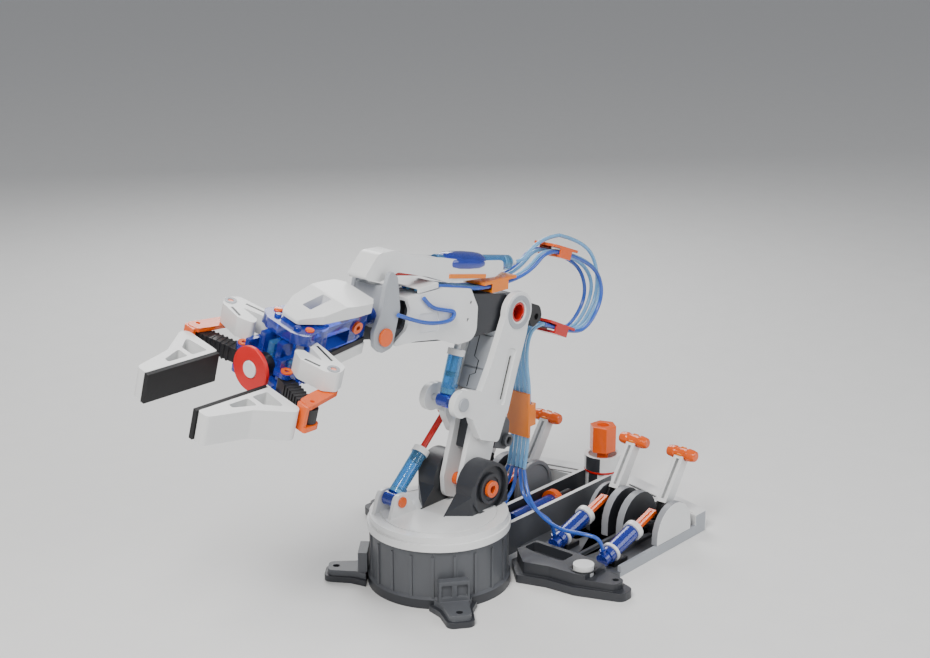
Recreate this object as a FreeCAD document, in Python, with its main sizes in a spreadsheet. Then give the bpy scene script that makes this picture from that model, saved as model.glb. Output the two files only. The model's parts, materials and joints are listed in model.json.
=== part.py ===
import FreeCAD, Part
import math
import os

import Sketcher
from FreeCAD import Placement, Rotation, Vector

# Hydraulic desk-top robot arm with its lever console, as a parametric FreeCAD document, in millimetres.
#
# The origin is on the floor under the turntable's axis. +Z is up, the arm reaches towards -Y, the lever console
# stands behind it at +Y, and +X is the console's right wing as seen from behind the levers.

doc = FreeCAD.newDocument("hydraulic_arm")

# ---------------------------------------------------------------- driving dimensions
DIMENSIONS = {
    # round base and turntable
    "drum_radius": 54.5, "drum_height": 46.5, "skirt_radius": 57.0, "skirt_height": 7.5,
    "drum_wall": 4.0, "rib_count": 20, "rib_depth": 1.2, "rib_width": 2.2,
    "table_radius": 57.0, "table_bottom": 47.2, "table_step": 53.2, "table_top": 58.8,
    "spindle_radius": 6.0, "running_gap": 0.05,
    # shoulder
    "shoulder_y": 28.6, "shoulder_z": 75.8, "bracket_inner": 11.6, "bracket_outer": 28.5,
    "bracket_hub": 21.5, "shoulder_pin": 5.0, "bolt_head": 6.8,
    # upper arm
    "elbow_y": 77.0, "elbow_z": 208.5, "arm_narrow": 10.8, "arm_inner": 12.4, "arm_outer": 18.0,
    "arm_rib_inner": 6.6, "elbow_hub": 16.5, "elbow_pin": 8.0, "elbow_bore": 6.0,
    # cylinders shared sizes
    "barrel_radius": 6.0, "barrel_bore": 4.7, "rod_radius": 2.6, "piston_radius": 4.6,
    "pivot_pin": 2.5, "eye_radius": 5.0,
    # shoulder cylinder
    "lift_x": -25.5, "lift_foot_y": -27.0, "lift_foot_z": 70.0, "lift_head_y": 39.0, "lift_head_z": 128.0,
    "lift_barrel_length": 48.0, "ear_thickness": 3.5,
    # elbow cylinder
    "bend_foot_y": 8.6, "bend_foot_z": 148.7, "bend_head_y": 28.0, "bend_head_z": 204.0,
    "bend_barrel_length": 41.0, "bend_ear": 11.0,
    # forearm
    "wrist_y": -78.0, "wrist_z": 223.4, "rail_inner": 7.2, "rail_outer": 10.0, "shell_outer": 13.2,
    "forearm_hub": 14.0, "wrist_hub": 6.0, "wrist_pin": 3.0,
    # wrist
    "yoke_inner": 13.6, "yoke_outer": 17.0, "lever_half": 9.0,
    # hand, measured along the hand's own axis in front of the wrist pivot
    "roll_z": 237.0, "hand_roll": 16.5, "link_back": 78.0, "link_side": 16.0, "bar_back": 100.0,
    "bar_side": 22.0, "link_length": 38.0, "link_splay": 74.0, "pad_gap": 23.0, "disc_radius": 16.5,
    "disc_front": 110.0, "disc_drop": -15.0,
    # console
    "wing_side": 110.0, "spine_half": 15.0, "deck_front": 84.0, "deck_corner": 222.0, "deck_apex": 250.0,
    "deck_floor": 4.0, "deck_height": 18.0, "lever_pivot_y": 166.0, "lever_pivot_z": 17.0,
    "lever_inner_x": 47.0, "lever_outer_x": 96.0, "lever_top_y": 201.5, "lever_top_z": 72.0,
    "guard_radius": 25.0, "guard_y": 172.0, "guard_z": 15.0, "pump_foot_y": 95.0, "pump_foot_z": 14.0,
    "pump_head_y": 134.0, "pump_head_z": 25.5, "pump_barrel": 6.8,
    "knob_y": 221.0, "knob_bottom": 46.0, "knob_top": 70.0, "knob_flats": 21.0,
    # hoses
    "hose_radius": 1.6, "hose_pitch": 4.1,
}

sheet = doc.addObject("Spreadsheet::Sheet", "dims")
for row, (alias, value) in enumerate(DIMENSIONS.items(), start=1):
    sheet.set(f"A{row}", alias)
    sheet.set(f"B{row}", str(value))
    sheet.setAlias(f"B{row}", alias)
doc.recompute()


def dim(alias):
    """A driving dimension, read back from the sheet."""
    return float(sheet.get(alias))


NODES = {}


def node(name, feature, placement=None):
    """Registers a finished sub-part under its own name, turned by placement where it has one."""
    feature.Label = name
    if placement is not None:
        feature.Placement = placement.multiply(feature.Placement)
    NODES[name] = feature
    return feature


# ---------------------------------------------------------------- outlines and primitive helpers
STRAIGHT = math.radians(89.5)


def rounded(points):
    """Edges of a closed outline of (u, v) or (u, v, corner radius) points."""
    corners = [(Vector(p[0], p[1], 0), p[2] if len(p) > 2 else 0.0) for p in points]
    count = len(corners)
    ends, arcs = [], []
    for i, (here, radius) in enumerate(corners):
        back = (corners[i - 1][0] - here).normalize()
        ahead = (corners[(i + 1) % count][0] - here).normalize()
        half = back.getAngle(ahead) / 2
        if half > STRAIGHT:
            radius = 0.0
        reach = radius / math.tan(half) if radius else 0.0
        start, end = here + back * reach, here + ahead * reach
        ends.append((start, end))
        if radius:
            middle = here + (back + ahead).normalize() * (radius / math.sin(half) - radius)
            arcs.append(Part.Arc(start, middle, end))
        else:
            arcs.append(None)
    edges = []
    for i in range(count):
        if arcs[i]:
            edges.append(arcs[i])
        start, end = ends[i][1], ends[(i + 1) % count][0]
        if start.distanceToPoint(end) > 1e-4:
            edges.append(Part.LineSegment(start, end))
    return edges


def slab(name, plane, outline, start, depth, holes=()):
    """A PartDesign body: an outline on XY_Plane, XZ_Plane or YZ_Plane, padded from start by depth, both of them
    sheet expressions. Holes are (u, v, radius expression). XZ_Plane's normal is -Y."""
    body = doc.addObject("PartDesign::Body", name)
    sketch = body.newObject("Sketcher::SketchObject", name + "_sketch")
    base = [f for f in body.Origin.OriginFeatures if f.Role == plane][0]
    sketch.AttachmentSupport = [(base, "")]
    sketch.MapMode = "FlatFace"
    sketch.setExpression("AttachmentOffset.Base.z", start)
    for edge in rounded(outline):
        sketch.addGeometry(edge, False)
    for u, v, radius in holes:
        circle = sketch.addGeometry(Part.Circle(Vector(u, v, 0), Vector(0, 0, 1), 2.0), False)
        rule = sketch.addConstraint(Sketcher.Constraint("Radius", circle, 2.0))
        sketch.setExpression(f"Constraints[{rule}]", radius)
    pad = body.newObject("PartDesign::Pad", name + "_pad")
    pad.Profile = sketch
    pad.setExpression("Length", depth)
    sketch.Visibility = False
    return body


def cylinder(name, radius, height, base, direction=(0, 0, 1)):
    """A cylinder from base along direction, with its radius and height as sheet expressions."""
    made = doc.addObject("Part::Cylinder", name)
    made.setExpression("Radius", radius)
    made.setExpression("Height", height)
    made.Placement = Placement(Vector(*base), Rotation(Vector(0, 0, 1), Vector(*direction)))
    return made


def box(name, low, high):
    """A box from its lowest to its highest corner, in millimetres."""
    made = doc.addObject("Part::Box", name)
    made.Length, made.Width, made.Height = (b - a for a, b in zip(low, high))
    made.Placement = Placement(Vector(*low), Rotation())
    return made


def fuse(name, *parts):
    made = doc.addObject("Part::MultiFuse", name)
    made.Shapes = list(parts)
    made.Refine = True
    return made


def cut(name, base, *tools):
    made = doc.addObject("Part::Cut", name)
    made.Base = base
    made.Tool = tools[0] if len(tools) == 1 else fuse(name + "_tools", *tools)
    made.Refine = True
    return made


def group(name, *parts):
    """Separate solids that share one node."""
    made = doc.addObject("Part::Compound", name)
    made.Links = list(parts)
    return made


def mirrored(name, source):
    """The same piece on the other side of the plane x = 0."""
    made = doc.addObject("Part::Mirroring", name)
    made.Source = source
    made.Base = Vector(0, 0, 0)
    made.Normal = Vector(1, 0, 0)
    return made


def tube(name, outer, inner, height, base, direction=(0, 0, 1)):
    return cut(name, cylinder(name + "_outer", outer, height, base, direction),
               cylinder(name + "_inner", inner, height, base, direction))


def along(start, end, distance):
    """The point at a distance from start towards end."""
    a, b = Vector(*start), Vector(*end)
    return tuple(a + (b - a).normalize() * distance)


def toward(start, end):
    return tuple((Vector(*end) - Vector(*start)).normalize())


def arc_points(centre, radius, first, last, count):
    """Points on an arc, in degrees from first to last."""
    steps = [math.radians(first + (last - first) * i / (count - 1)) for i in range(count)]
    return [(centre[0] + radius * math.cos(a), centre[1] + radius * math.sin(a)) for a in steps]


# ---------------------------------------------------------------- round base
def build_base():
    profile = [(0, 0), (dim("skirt_radius"), 0), (dim("skirt_radius"), dim("skirt_height")),
               (dim("drum_radius"), dim("skirt_height") + 1.5), (dim("drum_radius"), dim("drum_height")),
               (dim("drum_radius") - dim("drum_wall"), dim("drum_height")),
               (dim("drum_radius") - dim("drum_wall"), 4.0), (11.0, 4.0), (11.0, dim("drum_height")),
               (dim("spindle_radius") + dim("running_gap"), dim("drum_height")),
               (dim("spindle_radius") + dim("running_gap"), 8.0), (0, 8.0)]
    body = doc.addObject("PartDesign::Body", "drum_body")
    sketch = body.newObject("Sketcher::SketchObject", "drum_profile")
    sketch.AttachmentSupport = [([f for f in body.Origin.OriginFeatures if f.Role == "XZ_Plane"][0], "")]
    sketch.MapMode = "FlatFace"
    for edge in rounded(profile):
        sketch.addGeometry(edge, False)
    turned = body.newObject("PartDesign::Revolution", "drum_turned")
    turned.Profile = sketch
    turned.ReferenceAxis = (sketch, ["V_Axis"])
    turned.Angle = 360.0
    # upright ribs all round the drum
    rib_sketch = body.newObject("Sketcher::SketchObject", "rib_sketch")
    rib_sketch.AttachmentSupport = [([f for f in body.Origin.OriginFeatures if f.Role == "XY_Plane"][0],
        "")]
    rib_sketch.MapMode = "FlatFace"
    rib_sketch.setExpression("AttachmentOffset.Base.z", "dims.skirt_height + 1")
    half, inner = dim("rib_width") / 2, dim("drum_radius") - 1.0
    outer = dim("drum_radius") + dim("rib_depth")
    for edge in rounded([(inner, -half), (outer, -half), (outer, half), (inner, half)]):
        rib_sketch.addGeometry(edge, False)
    rib = body.newObject("PartDesign::Pad", "rib")
    rib.Profile = rib_sketch
    rib.setExpression("Length", "dims.drum_height - dims.skirt_height - 5")
    ribs = body.newObject("PartDesign::PolarPattern", "ribs")
    ribs.Originals = [rib]
    ribs.Axis = (rib_sketch, ["N_Axis"])
    ribs.Angle = 360.0
    ribs.setExpression("Occurrences", "dims.rib_count")
    body.Tip = ribs
    node("drum", body)

    # two splayed front feet: a thick tongue with a thinner capped step and a screw hole
    reach = math.hypot(65.0, 51.0)
    feet = []
    for side, name in ((1, "foot_right"), (-1, "foot_left")):
        turn = math.degrees(math.atan2(-51.0, 65.0 * side))
        lower = slab(name + "_lower", "XY_Plane",
                     [(57.2, -19), (70, -13), (reach + 9, -10.5, 6), (reach + 9, 10.5, 6), (70, 13),
                         (57.2, 19)],
                     "0", "5", [(reach, 0, "2.6")])
        upper = slab(name + "_upper", "XY_Plane",
                     [(57.6, -15), (68, -10.5), (reach + 6.5, -8.5, 5), (reach + 6.5, 8.5, 5), (68, 10.5),
                         (57.6, 15)],
                     "5", "4.5", [(reach, 0, "2.6")])
        tower = box(name + "_tower", (56.4, -12, 9.5), (64, 12, 26))
        slots = [box(name + f"_slot{i}", (62, y, 13), (65, y + 8, 22.5)) for i, y in enumerate((-10, 2))]
        whole = cut(name + "_cut", fuse(name + "_sum", lower, upper, tower), *slots)
        whole.Placement = Placement(Vector(), Rotation(Vector(0, 0, 1), turn))
        feet.append(whole)
    node("front_feet", group("front_feet_group", *feet))

    # turntable with its stepped rim, spindle and the two ears that carry the shoulder cylinder
    plate = cylinder("table_rim", "dims.table_radius", "dims.table_step - dims.table_bottom",
        (0, 0, dim("table_bottom")))
    top = cylinder("table_cap", "dims.table_radius - 1.8", "dims.table_top - dims.table_step",
        (0, 0, dim("table_step")))
    spindle = cylinder("table_spindle", "dims.spindle_radius", "dims.table_bottom - 9", (0, 0, 9))
    groove = tube("table_groove", "47", "45.8", "2", (0, 0, dim("table_top") - 0.9))
    ears = []
    foot = (dim("lift_foot_y"), dim("lift_foot_z"))
    ear_outline = [(foot[0] - 14, dim("table_top") - 2), (foot[0] + 16, dim("table_top") - 2),
                   (foot[0] + 16, dim("table_top") + 2, 1), (foot[0] + 6.5, foot[1] + 6.5, 6),
                   (foot[0] - 6.5, foot[1] + 6.5, 6), (foot[0] - 11, dim("table_top") + 4, 2)]
    for name, start in (("ear_near", "dims.lift_x + 7"),
            ("ear_far", "dims.lift_x - 7 - dims.ear_thickness")):
        ears.append(slab(name, "YZ_Plane", ear_outline, start, "dims.ear_thickness",
            [(foot[0], foot[1], "2.6")]))
    node("turntable", cut("turntable_cut", fuse("turntable_sum", plate, top, spindle, *ears), groove))


# ---------------------------------------------------------------- shoulder brackets and pins
def build_shoulder():
    y, z, floor = dim("shoulder_y"), dim("shoulder_z"), dim("table_top")
    hub = dim("bracket_hub")
    cheek = slab("cheek", "YZ_Plane",
                 [(-8, floor), (y + 23, floor), (y + hub, z - 3), (y + hub * 0.6, z + hub * 0.7, 8),
                  (y - hub * 0.6, z + hub * 0.7, 8), (y - hub, z - 2)],
                 "dims.bracket_inner", "dims.bracket_outer - dims.bracket_inner")
    round_hub = cylinder("cheek_hub", "dims.bracket_hub", "dims.bracket_outer - dims.bracket_inner + 1.5",
                         (dim("bracket_inner"), y, z), (1, 0, 0))
    slant = box("cheek_slant", (0, 0, 0), (60, 30, 40))
    turned = Rotation(Vector(0, 0, 1), 40)
    slant.Placement = Placement(Vector(dim("bracket_inner"), -6.4,
        floor - 1) + turned.multVec(Vector(0, -30, 0)), turned)
    bore = cylinder("cheek_bore", "dims.shoulder_pin + 0.1", "60", (0, y, z), (1, 0, 0))
    ring = tube("cheek_ring", "dims.bracket_hub - 3", "dims.bolt_head + 5.5", "6",
                (dim("bracket_outer") - 1.5, y, z), (1, 0, 0))
    seat = cylinder("cheek_seat", "dims.bolt_head + 3", "2", (dim("bracket_outer") + 0.5, y, z), (1, 0, 0))
    pocket = slab("cheek_pocket", "YZ_Plane",
        [(2, floor + 4, 2), (y - 24, floor + 4, 2), (y - 22, floor + 10, 2)],
                  "dims.bracket_outer - 3", "6")
    below = box("cheek_below", (0, -60, floor - 12), (60, 80, floor))
    right = cut("cheek_right", fuse("cheek_sum", cheek, round_hub), slant, below, bore, ring, seat, pocket)
    node("shoulder_brackets", group("cheeks", right, mirrored("cheek_left", right)))

    # bolts: the shoulder pin with its two hollow heads and the shoulder cylinder's foot pin
    span = dim("bracket_outer") + 0.5
    pin = cylinder("pin_shaft", "dims.shoulder_pin", "2 * dims.bracket_outer + 1", (-span, y, z), (1, 0, 0))
    heads = [cylinder("pin_head_right", "dims.bolt_head", "3.2", (span, y, z), (1, 0, 0)),
             cylinder("pin_head_left", "dims.bolt_head", "3.2", (-span, y, z), (-1, 0, 0))]
    eye = cylinder("pin_eye", "3", "80", (-40, y, z), (1, 0, 0))
    main = cut("shoulder_pin_cut", fuse("shoulder_pin_sum", pin, *heads), eye)
    foot = (dim("lift_x") - 10.5, dim("lift_foot_y"), dim("lift_foot_z"))
    small = fuse("lift_pin_sum", cylinder("lift_pin_shaft", "dims.pivot_pin", "21", foot, (1, 0, 0)),
                 cylinder("lift_pin_head", "4.4", "1.8", (foot[0] + 21, foot[1], foot[2]), (1, 0, 0)),
                 cylinder("lift_pin_tail", "4.4", "1.8", foot, (-1, 0, 0)))
    node("shoulder_pins", group("shoulder_pins_group", main, small))


# ---------------------------------------------------------------- hydraulic cylinders
def hydraulic(name, foot, head, barrel_length, piston_at, piston_length, width):
    """A barrel with a bored foot eye, and a rod with its piston and head eye, both on the line foot to head."""
    way = toward(foot, head)
    reach = (Vector(*head) - Vector(*foot)).Length
    across = (1, 0, 0)
    side = lambda p: (p[0] - width / 2, p[1], p[2])
    shell = cylinder(name + "_shell", "dims.barrel_radius", str(barrel_length - 5), along(foot, head, 5),
        way)
    collar = cylinder(name + "_collar", "dims.barrel_radius + 1", "5", along(foot, head, barrel_length - 5),
        way)
    bore = cylinder(name + "_bore", "dims.barrel_bore", str(barrel_length), along(foot, head, 9.6), way)
    foot_bore = cylinder(name + "_foot_bore", "dims.pivot_pin + dims.running_gap", str(width + 2),
                         (foot[0] - width / 2 - 1, foot[1], foot[2]), across)
    stub = cylinder(name + "_stub", "2.6", "8", along(foot, head, 12),
                    tuple(Vector(*way).cross(Vector(1, 0, 0))))
    solid_eye = cylinder(name + "_foot_eye", "dims.eye_radius + 0.8", str(width), side(foot), across)
    foot_eye = cut(name + "_foot_cut", solid_eye, foot_bore)
    tubed = cut(name + "_tubed", fuse(name + "_tube_sum", shell, collar, stub), bore)
    barrel = fuse(name + "_barrel_sum", tubed, foot_eye)
    rod_from = along(foot, head, piston_at)
    piston = cylinder(name + "_piston", "dims.piston_radius", str(piston_length), rod_from, way)
    rod = cylinder(name + "_rod", "dims.rod_radius", str(reach - piston_at), rod_from, way)
    head_eye = cylinder(name + "_head_eye", "dims.eye_radius", str(width), side(head), across)
    head_bore = cylinder(name + "_head_bore", "dims.pivot_pin + 0.4", str(width + 2),
                         (head[0] - width / 2 - 1, head[1], head[2]), across)
    plunger = cut(name + "_rod_cut", fuse(name + "_rod_sum", piston, rod, head_eye), head_bore)
    return barrel, plunger


def build_cylinders():
    x = dim("lift_x")
    barrel, plunger = hydraulic("lift", (x, dim("lift_foot_y"), dim("lift_foot_z")),
                                (x, dim("lift_head_y"), dim("lift_head_z")), dim("lift_barrel_length"),
                                    36.0, 6.0, 11.0)
    node("shoulder_barrel", barrel)
    node("shoulder_rod", plunger)
    barrel, plunger = hydraulic("bend", (0, dim("bend_foot_y"), dim("bend_foot_z")),
                                (0, dim("bend_head_y"), dim("bend_head_z")), dim("bend_barrel_length"),
                                    19.0, 4.0, 11.0)
    node("elbow_barrel", barrel)
    node("elbow_rod", plunger)


# ---------------------------------------------------------------- upper arm
def arm_point(distance, offset):
    """A (y, z) point of the upper arm: distance up from the shoulder, offset towards the arm's front."""
    sy, sz = dim("shoulder_y"), dim("shoulder_z")
    dy, dz = dim("elbow_y") - sy, dim("elbow_z") - sz
    long = math.hypot(dy, dz)
    ty, tz = dy / long, dz / long
    return (sy + distance * ty - offset * tz, sz + distance * tz + offset * ty)


def arm_outline(points):
    return [arm_point(*p[:2]) + tuple(p[2:]) for p in points]


def build_arm():
    ey, ez = dim("elbow_y"), dim("elbow_z")
    sy, sz = dim("shoulder_y"), dim("shoulder_z")
    fy, fz = dim("bend_foot_y"), dim("bend_foot_z")
    lower = slab("arm_lower", "YZ_Plane",
                 arm_outline([(-15.5, -9, 8), (-15.5, 9, 8), (0, 16.2, 10), (62, 18), (62, -16),
                     (0, -16.2, 10)]),
                 "dims.arm_rib_inner", "dims.arm_narrow - dims.arm_rib_inner",
                     [(sy, sz, "dims.shoulder_pin + 0.05")])
    flare = slab("arm_flare", "YZ_Plane",
                 arm_outline([(36, -12, 4), (36, 12, 6), (50, 27, 10), (72, 30, 8), (72, -15.5)]),
                 "dims.arm_narrow", "dims.arm_outer - dims.arm_narrow")
    upper = slab("arm_upper", "YZ_Plane",
                 arm_outline([(60, -15.5), (60, 28), (64, 27, 3), (98, 20, 12), (126, 16.5), (150, 14, 12),
                              (158, 0, 12), (150, -14, 12), (126, -16.5, 10), (96, -15.5)]),
                 "dims.arm_inner", "dims.arm_outer - dims.arm_inner", [(ey, ez, "dims.elbow_pin + 0.1")])
    hub = tube("arm_hub", "dims.elbow_hub", "dims.elbow_pin + 0.1", "dims.arm_outer - dims.arm_inner",
               (dim("arm_inner"), ey, ez), (1, 0, 0))
    ear = slab("arm_ear", "YZ_Plane",
               [(fy - 9, fz - 8, 7), (fy + 4, fz - 11, 4)] + arm_outline([(50, 22), (74, 22)])
               + [(fy + 6, fz + 11, 6), (fy - 9, fz + 8, 7)],
               "dims.arm_inner", "dims.arm_outer - dims.arm_inner", [(fy, fz, "dims.pivot_pin + 0.1")])
    boss = tube("arm_ear_boss", "dims.bend_ear", "dims.pivot_pin + 0.1", "dims.arm_outer - dims.arm_inner",
                (dim("arm_inner"), fy, fz), (1, 0, 0))
    clear = cylinder("arm_clear", "dims.elbow_pin + 0.1", "30", (0, ey, ez), (1, 0, 0))
    ear_clear = cylinder("arm_ear_clear", "dims.pivot_pin + 0.1", "30", (0, fy, fz), (1, 0, 0))
    recess = slab("arm_recess", "YZ_Plane",
                  arm_outline([(66, -8, 3), (66, 2, 3), (112, 2, 3), (112, -8, 3)]),
                  "dims.arm_outer - 1.2", "4")
    slit = slab("arm_slit", "YZ_Plane",
                arm_outline([(70, -5.5, 1), (70, -2.5, 1), (106, -2.5, 1), (106, -5.5, 1)]),
                "dims.arm_outer - 3", "4")
    whole = fuse("arm_plate_sum", lower, flare, upper, hub, ear, boss)
    right = cut("arm_plate_cut", whole, clear, ear_clear, recess, slit)
    node("arm_plate_right", right)
    node("arm_plate_left", mirrored("arm_plate_mirror", right))

    front = slab("front_panel_slab", "YZ_Plane",
                 arm_outline([(73, 13.5, 1.5), (73, 17.0, 1.5), (118, 15.0, 1.5), (118, 11.0, 1.5)]),
                 "-dims.arm_inner", "2 * dims.arm_inner")
    seam = slab("front_seam", "YZ_Plane", arm_outline([(90, 14.9), (90, 20), (91.2, 20), (91.2, 14.8)]),
                "-dims.arm_inner - 1", "2 * dims.arm_inner + 2")
    core = slab("front_core", "YZ_Plane",
                arm_outline([(26, -9, 2), (26, 10, 2), (52, 12, 2), (52, -9, 2)]),
                "-dims.arm_rib_inner", "2 * dims.arm_rib_inner")
    panel = cut("front_panel_cut", front, seam)

    # rear cover with a round hose boss low on the back, and the strut above it
    cover = slab("rear_cover_slab", "YZ_Plane",
                 arm_outline([(73, -15, 2), (73, -11, 2), (118, -11, 2), (118, -15, 2)]),
                 "-dims.arm_inner", "2 * dims.arm_inner")
    block = slab("rear_block_slab", "YZ_Plane",
                 arm_outline([(30, -36, 4), (30, -17.3), (60, -17.3), (54, -30, 5)]), "-8", "18.8")
    boss_at = arm_point(38, -30)
    boss_tube = tube("rear_boss", "5.2", "3.2", "4", (10.8, *boss_at), (1, 0, 0))
    node("arm_covers", group("arm_covers_group", panel, core, cover,
        fuse("rear_block_sum", block, boss_tube)))

    # black bracket that reaches back from the elbow and carries the red comb for the hoses
    bracket = slab("comb_bracket_slab", "YZ_Plane",
                   [(ey + 17.2, ez - 8, 2), (ey + 17.2, ez + 4, 2), (ey + 34, ez - 3, 6),
                       (ey + 37, ez - 14, 6),
                    (ey + 24, ez - 20, 4)], "7", "6")
    arm = box("comb_bracket_arm", (7, ey + 12, ez - 5), (12.4, ey + 18, ez + 2))
    comb_clear = cylinder("comb_clear", "dims.elbow_hub", "30", (-15, ey, ez), (1, 0, 0))
    hole = cylinder("comb_hole", "2.6", "20", (0, ey + 29, ez - 11), (1, 0, 0))
    carrier = cut("comb_bracket_cut", fuse("comb_bracket_sum", bracket, arm), hole, comb_clear)
    node("arm_hose_combs", group("arm_combs_group", carrier, comb("rear_comb", (143, 177.2), -24.3, 36),
                                 comb("low_comb", (104.2, 113), 90.6, 38)))

    sleeve = tube("elbow_sleeve", "dims.elbow_pin", "dims.elbow_bore", "2 * dims.arm_outer - 1",
                  (-dim("arm_outer") + 0.5, ey, ez), (1, 0, 0))
    foot_pin = cylinder("bend_pin", "dims.pivot_pin", "2 * dims.arm_outer", (-dim("arm_outer"), fy, fz),
        (1, 0, 0))
    caps = [cylinder("bend_cap_right", "5.4", "1.8", (dim("arm_outer"), fy, fz), (1, 0, 0)),
            cylinder("bend_cap_left", "5.4", "1.8", (-dim("arm_outer"), fy, fz), (-1, 0, 0))]
    node("elbow_pins", group("elbow_pins_group", sleeve, fuse("bend_pin_sum", foot_pin, *caps)))


def comb(name, centre, tilt, length):
    """A hose comb: two bars joined by end posts, standing across the row of hoses that pass between them.
    Its long side lies at tilt degrees in the YZ plane, along the hoses."""
    half = 2 * dim("hose_pitch") + dim("hose_radius") + 1.6
    upper = box(name + "_upper", (-half, -length / 2, 2.6), (half, length / 2, 5.0))
    lower = box(name + "_lower", (-half, -length / 4, -4.8), (half, length / 4, -2.6))
    posts = [box(name + f"_post{i}", (x, -length / 4, -4.8), (x + 1.4, length / 4, 5.0))
             for i, x in enumerate((-half, half - 1.4))]
    whole = fuse(name + "_sum", upper, lower, *posts)
    whole.Placement = Placement(Vector(0, *centre), Rotation(Vector(1, 0, 0), tilt))
    return whole


# ---------------------------------------------------------------- forearm
def build_forearm():
    ey, ez = dim("elbow_y"), dim("elbow_z")
    wy, wz = dim("wrist_y"), dim("wrist_z")
    rail = slab("rail", "YZ_Plane",
                [(wy - 6, wz + 3, 4), (wy - 2, wz - 6.3, 4), (-40, 209, 8), (26, 197, 10),
                    (ey - 8, ez - 13, 6),
                 (ey - 2, ez + 14, 8), (30, 232, 8), (-44, 240, 6), (-50, 221, 8), (wy + 4, wz + 5, 3)],
                "dims.rail_inner", "dims.rail_outer - dims.rail_inner",
                    [(wy, wz, "dims.wrist_pin + dims.running_gap")])
    wrist_eye = tube("wrist_eye", "dims.wrist_hub", "dims.wrist_pin + dims.running_gap",
                     "dims.shell_outer - dims.rail_inner", (dim("rail_inner"), wy, wz), (1, 0, 0))
    wrist_clear = cylinder("rail_wrist_clear", "dims.wrist_pin + dims.running_gap", "30", (0, wy, wz),
        (1, 0, 0))
    elbow_clear = cylinder("rail_elbow_clear", "dims.forearm_hub", "30", (0, ey, ez), (1, 0, 0))
    rail_piece = cut("rail_cut", fuse("rail_sum", rail, wrist_eye), wrist_clear, elbow_clear)
    hub = cut("forearm_hub_cut",
              cylinder("forearm_hub_outer", "dims.forearm_hub", "2 * dims.arm_inner - 0.8",
                       (-dim("arm_inner") + 0.4, ey, ez), (1, 0, 0)),
              cylinder("forearm_hub_bore", "dims.elbow_pin + dims.running_gap", "40", (-20, ey, ez),
                  (1, 0, 0)))
    web = box("forearm_web", (-dim("rail_inner"), 46, 203), (dim("rail_inner"), 62, 214))
    node("forearm_frame", fuse("forearm_frame_sum", rail_piece, mirrored("rail_mirror", rail_piece), hub,
        web))

    outline = [(-69, 212.5, 2), (-40, 210.5, 3), (-16, 206.5, 4), (8, 197, 9), (30, 196, 11), (32, 222, 6),
               (24, 238, 3), (-8, 245.5, 3), (-50, 246.5, 3), (-45.5, 236, 6), (-50, 222, 8)]
    panel = slab("shell", "YZ_Plane", outline, "dims.rail_outer", "dims.shell_outer - dims.rail_outer",
                 [(20, 214, "1.4"), (24, 227, "1.4")])
    step = slab("shell_step", "YZ_Plane", [(-36, 216, 2), (-14, 213, 2), (-14, 228, 2), (-36, 231, 2)],
                "dims.shell_outer - 0.8", "3")
    right = cut("shell_cut", panel, step)
    node("forearm_shells", group("shells_group", right, mirrored("shell_mirror", right)))
    cover = slab("forearm_cover_slab", "YZ_Plane",
                 [(-44, 241.2, 1), (-8, 240.4, 1), (20, 233.6, 1), (20, 236.8, 1), (-8, 243.6, 1),
                     (-44, 244.4, 1)],
                 "-dims.rail_outer", "2 * dims.rail_outer")
    guide = cut("hose_guide_cut", box("hose_guide_block", (-13.2, -36, 246.6), (13.2, -14, 251)),
                box("hose_guide_gap", (-11, -40, 245.2), (11, 0, 249.6)))
    node("forearm_cover", group("forearm_cover_group", cover, guide))
    node("forearm_hose_combs", group("forearm_combs_group", comb("elbow_comb", (62, 232.6), -2, 40),
                                     comb("top_comb", (147, 242.0), -20.5, 32)))


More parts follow.
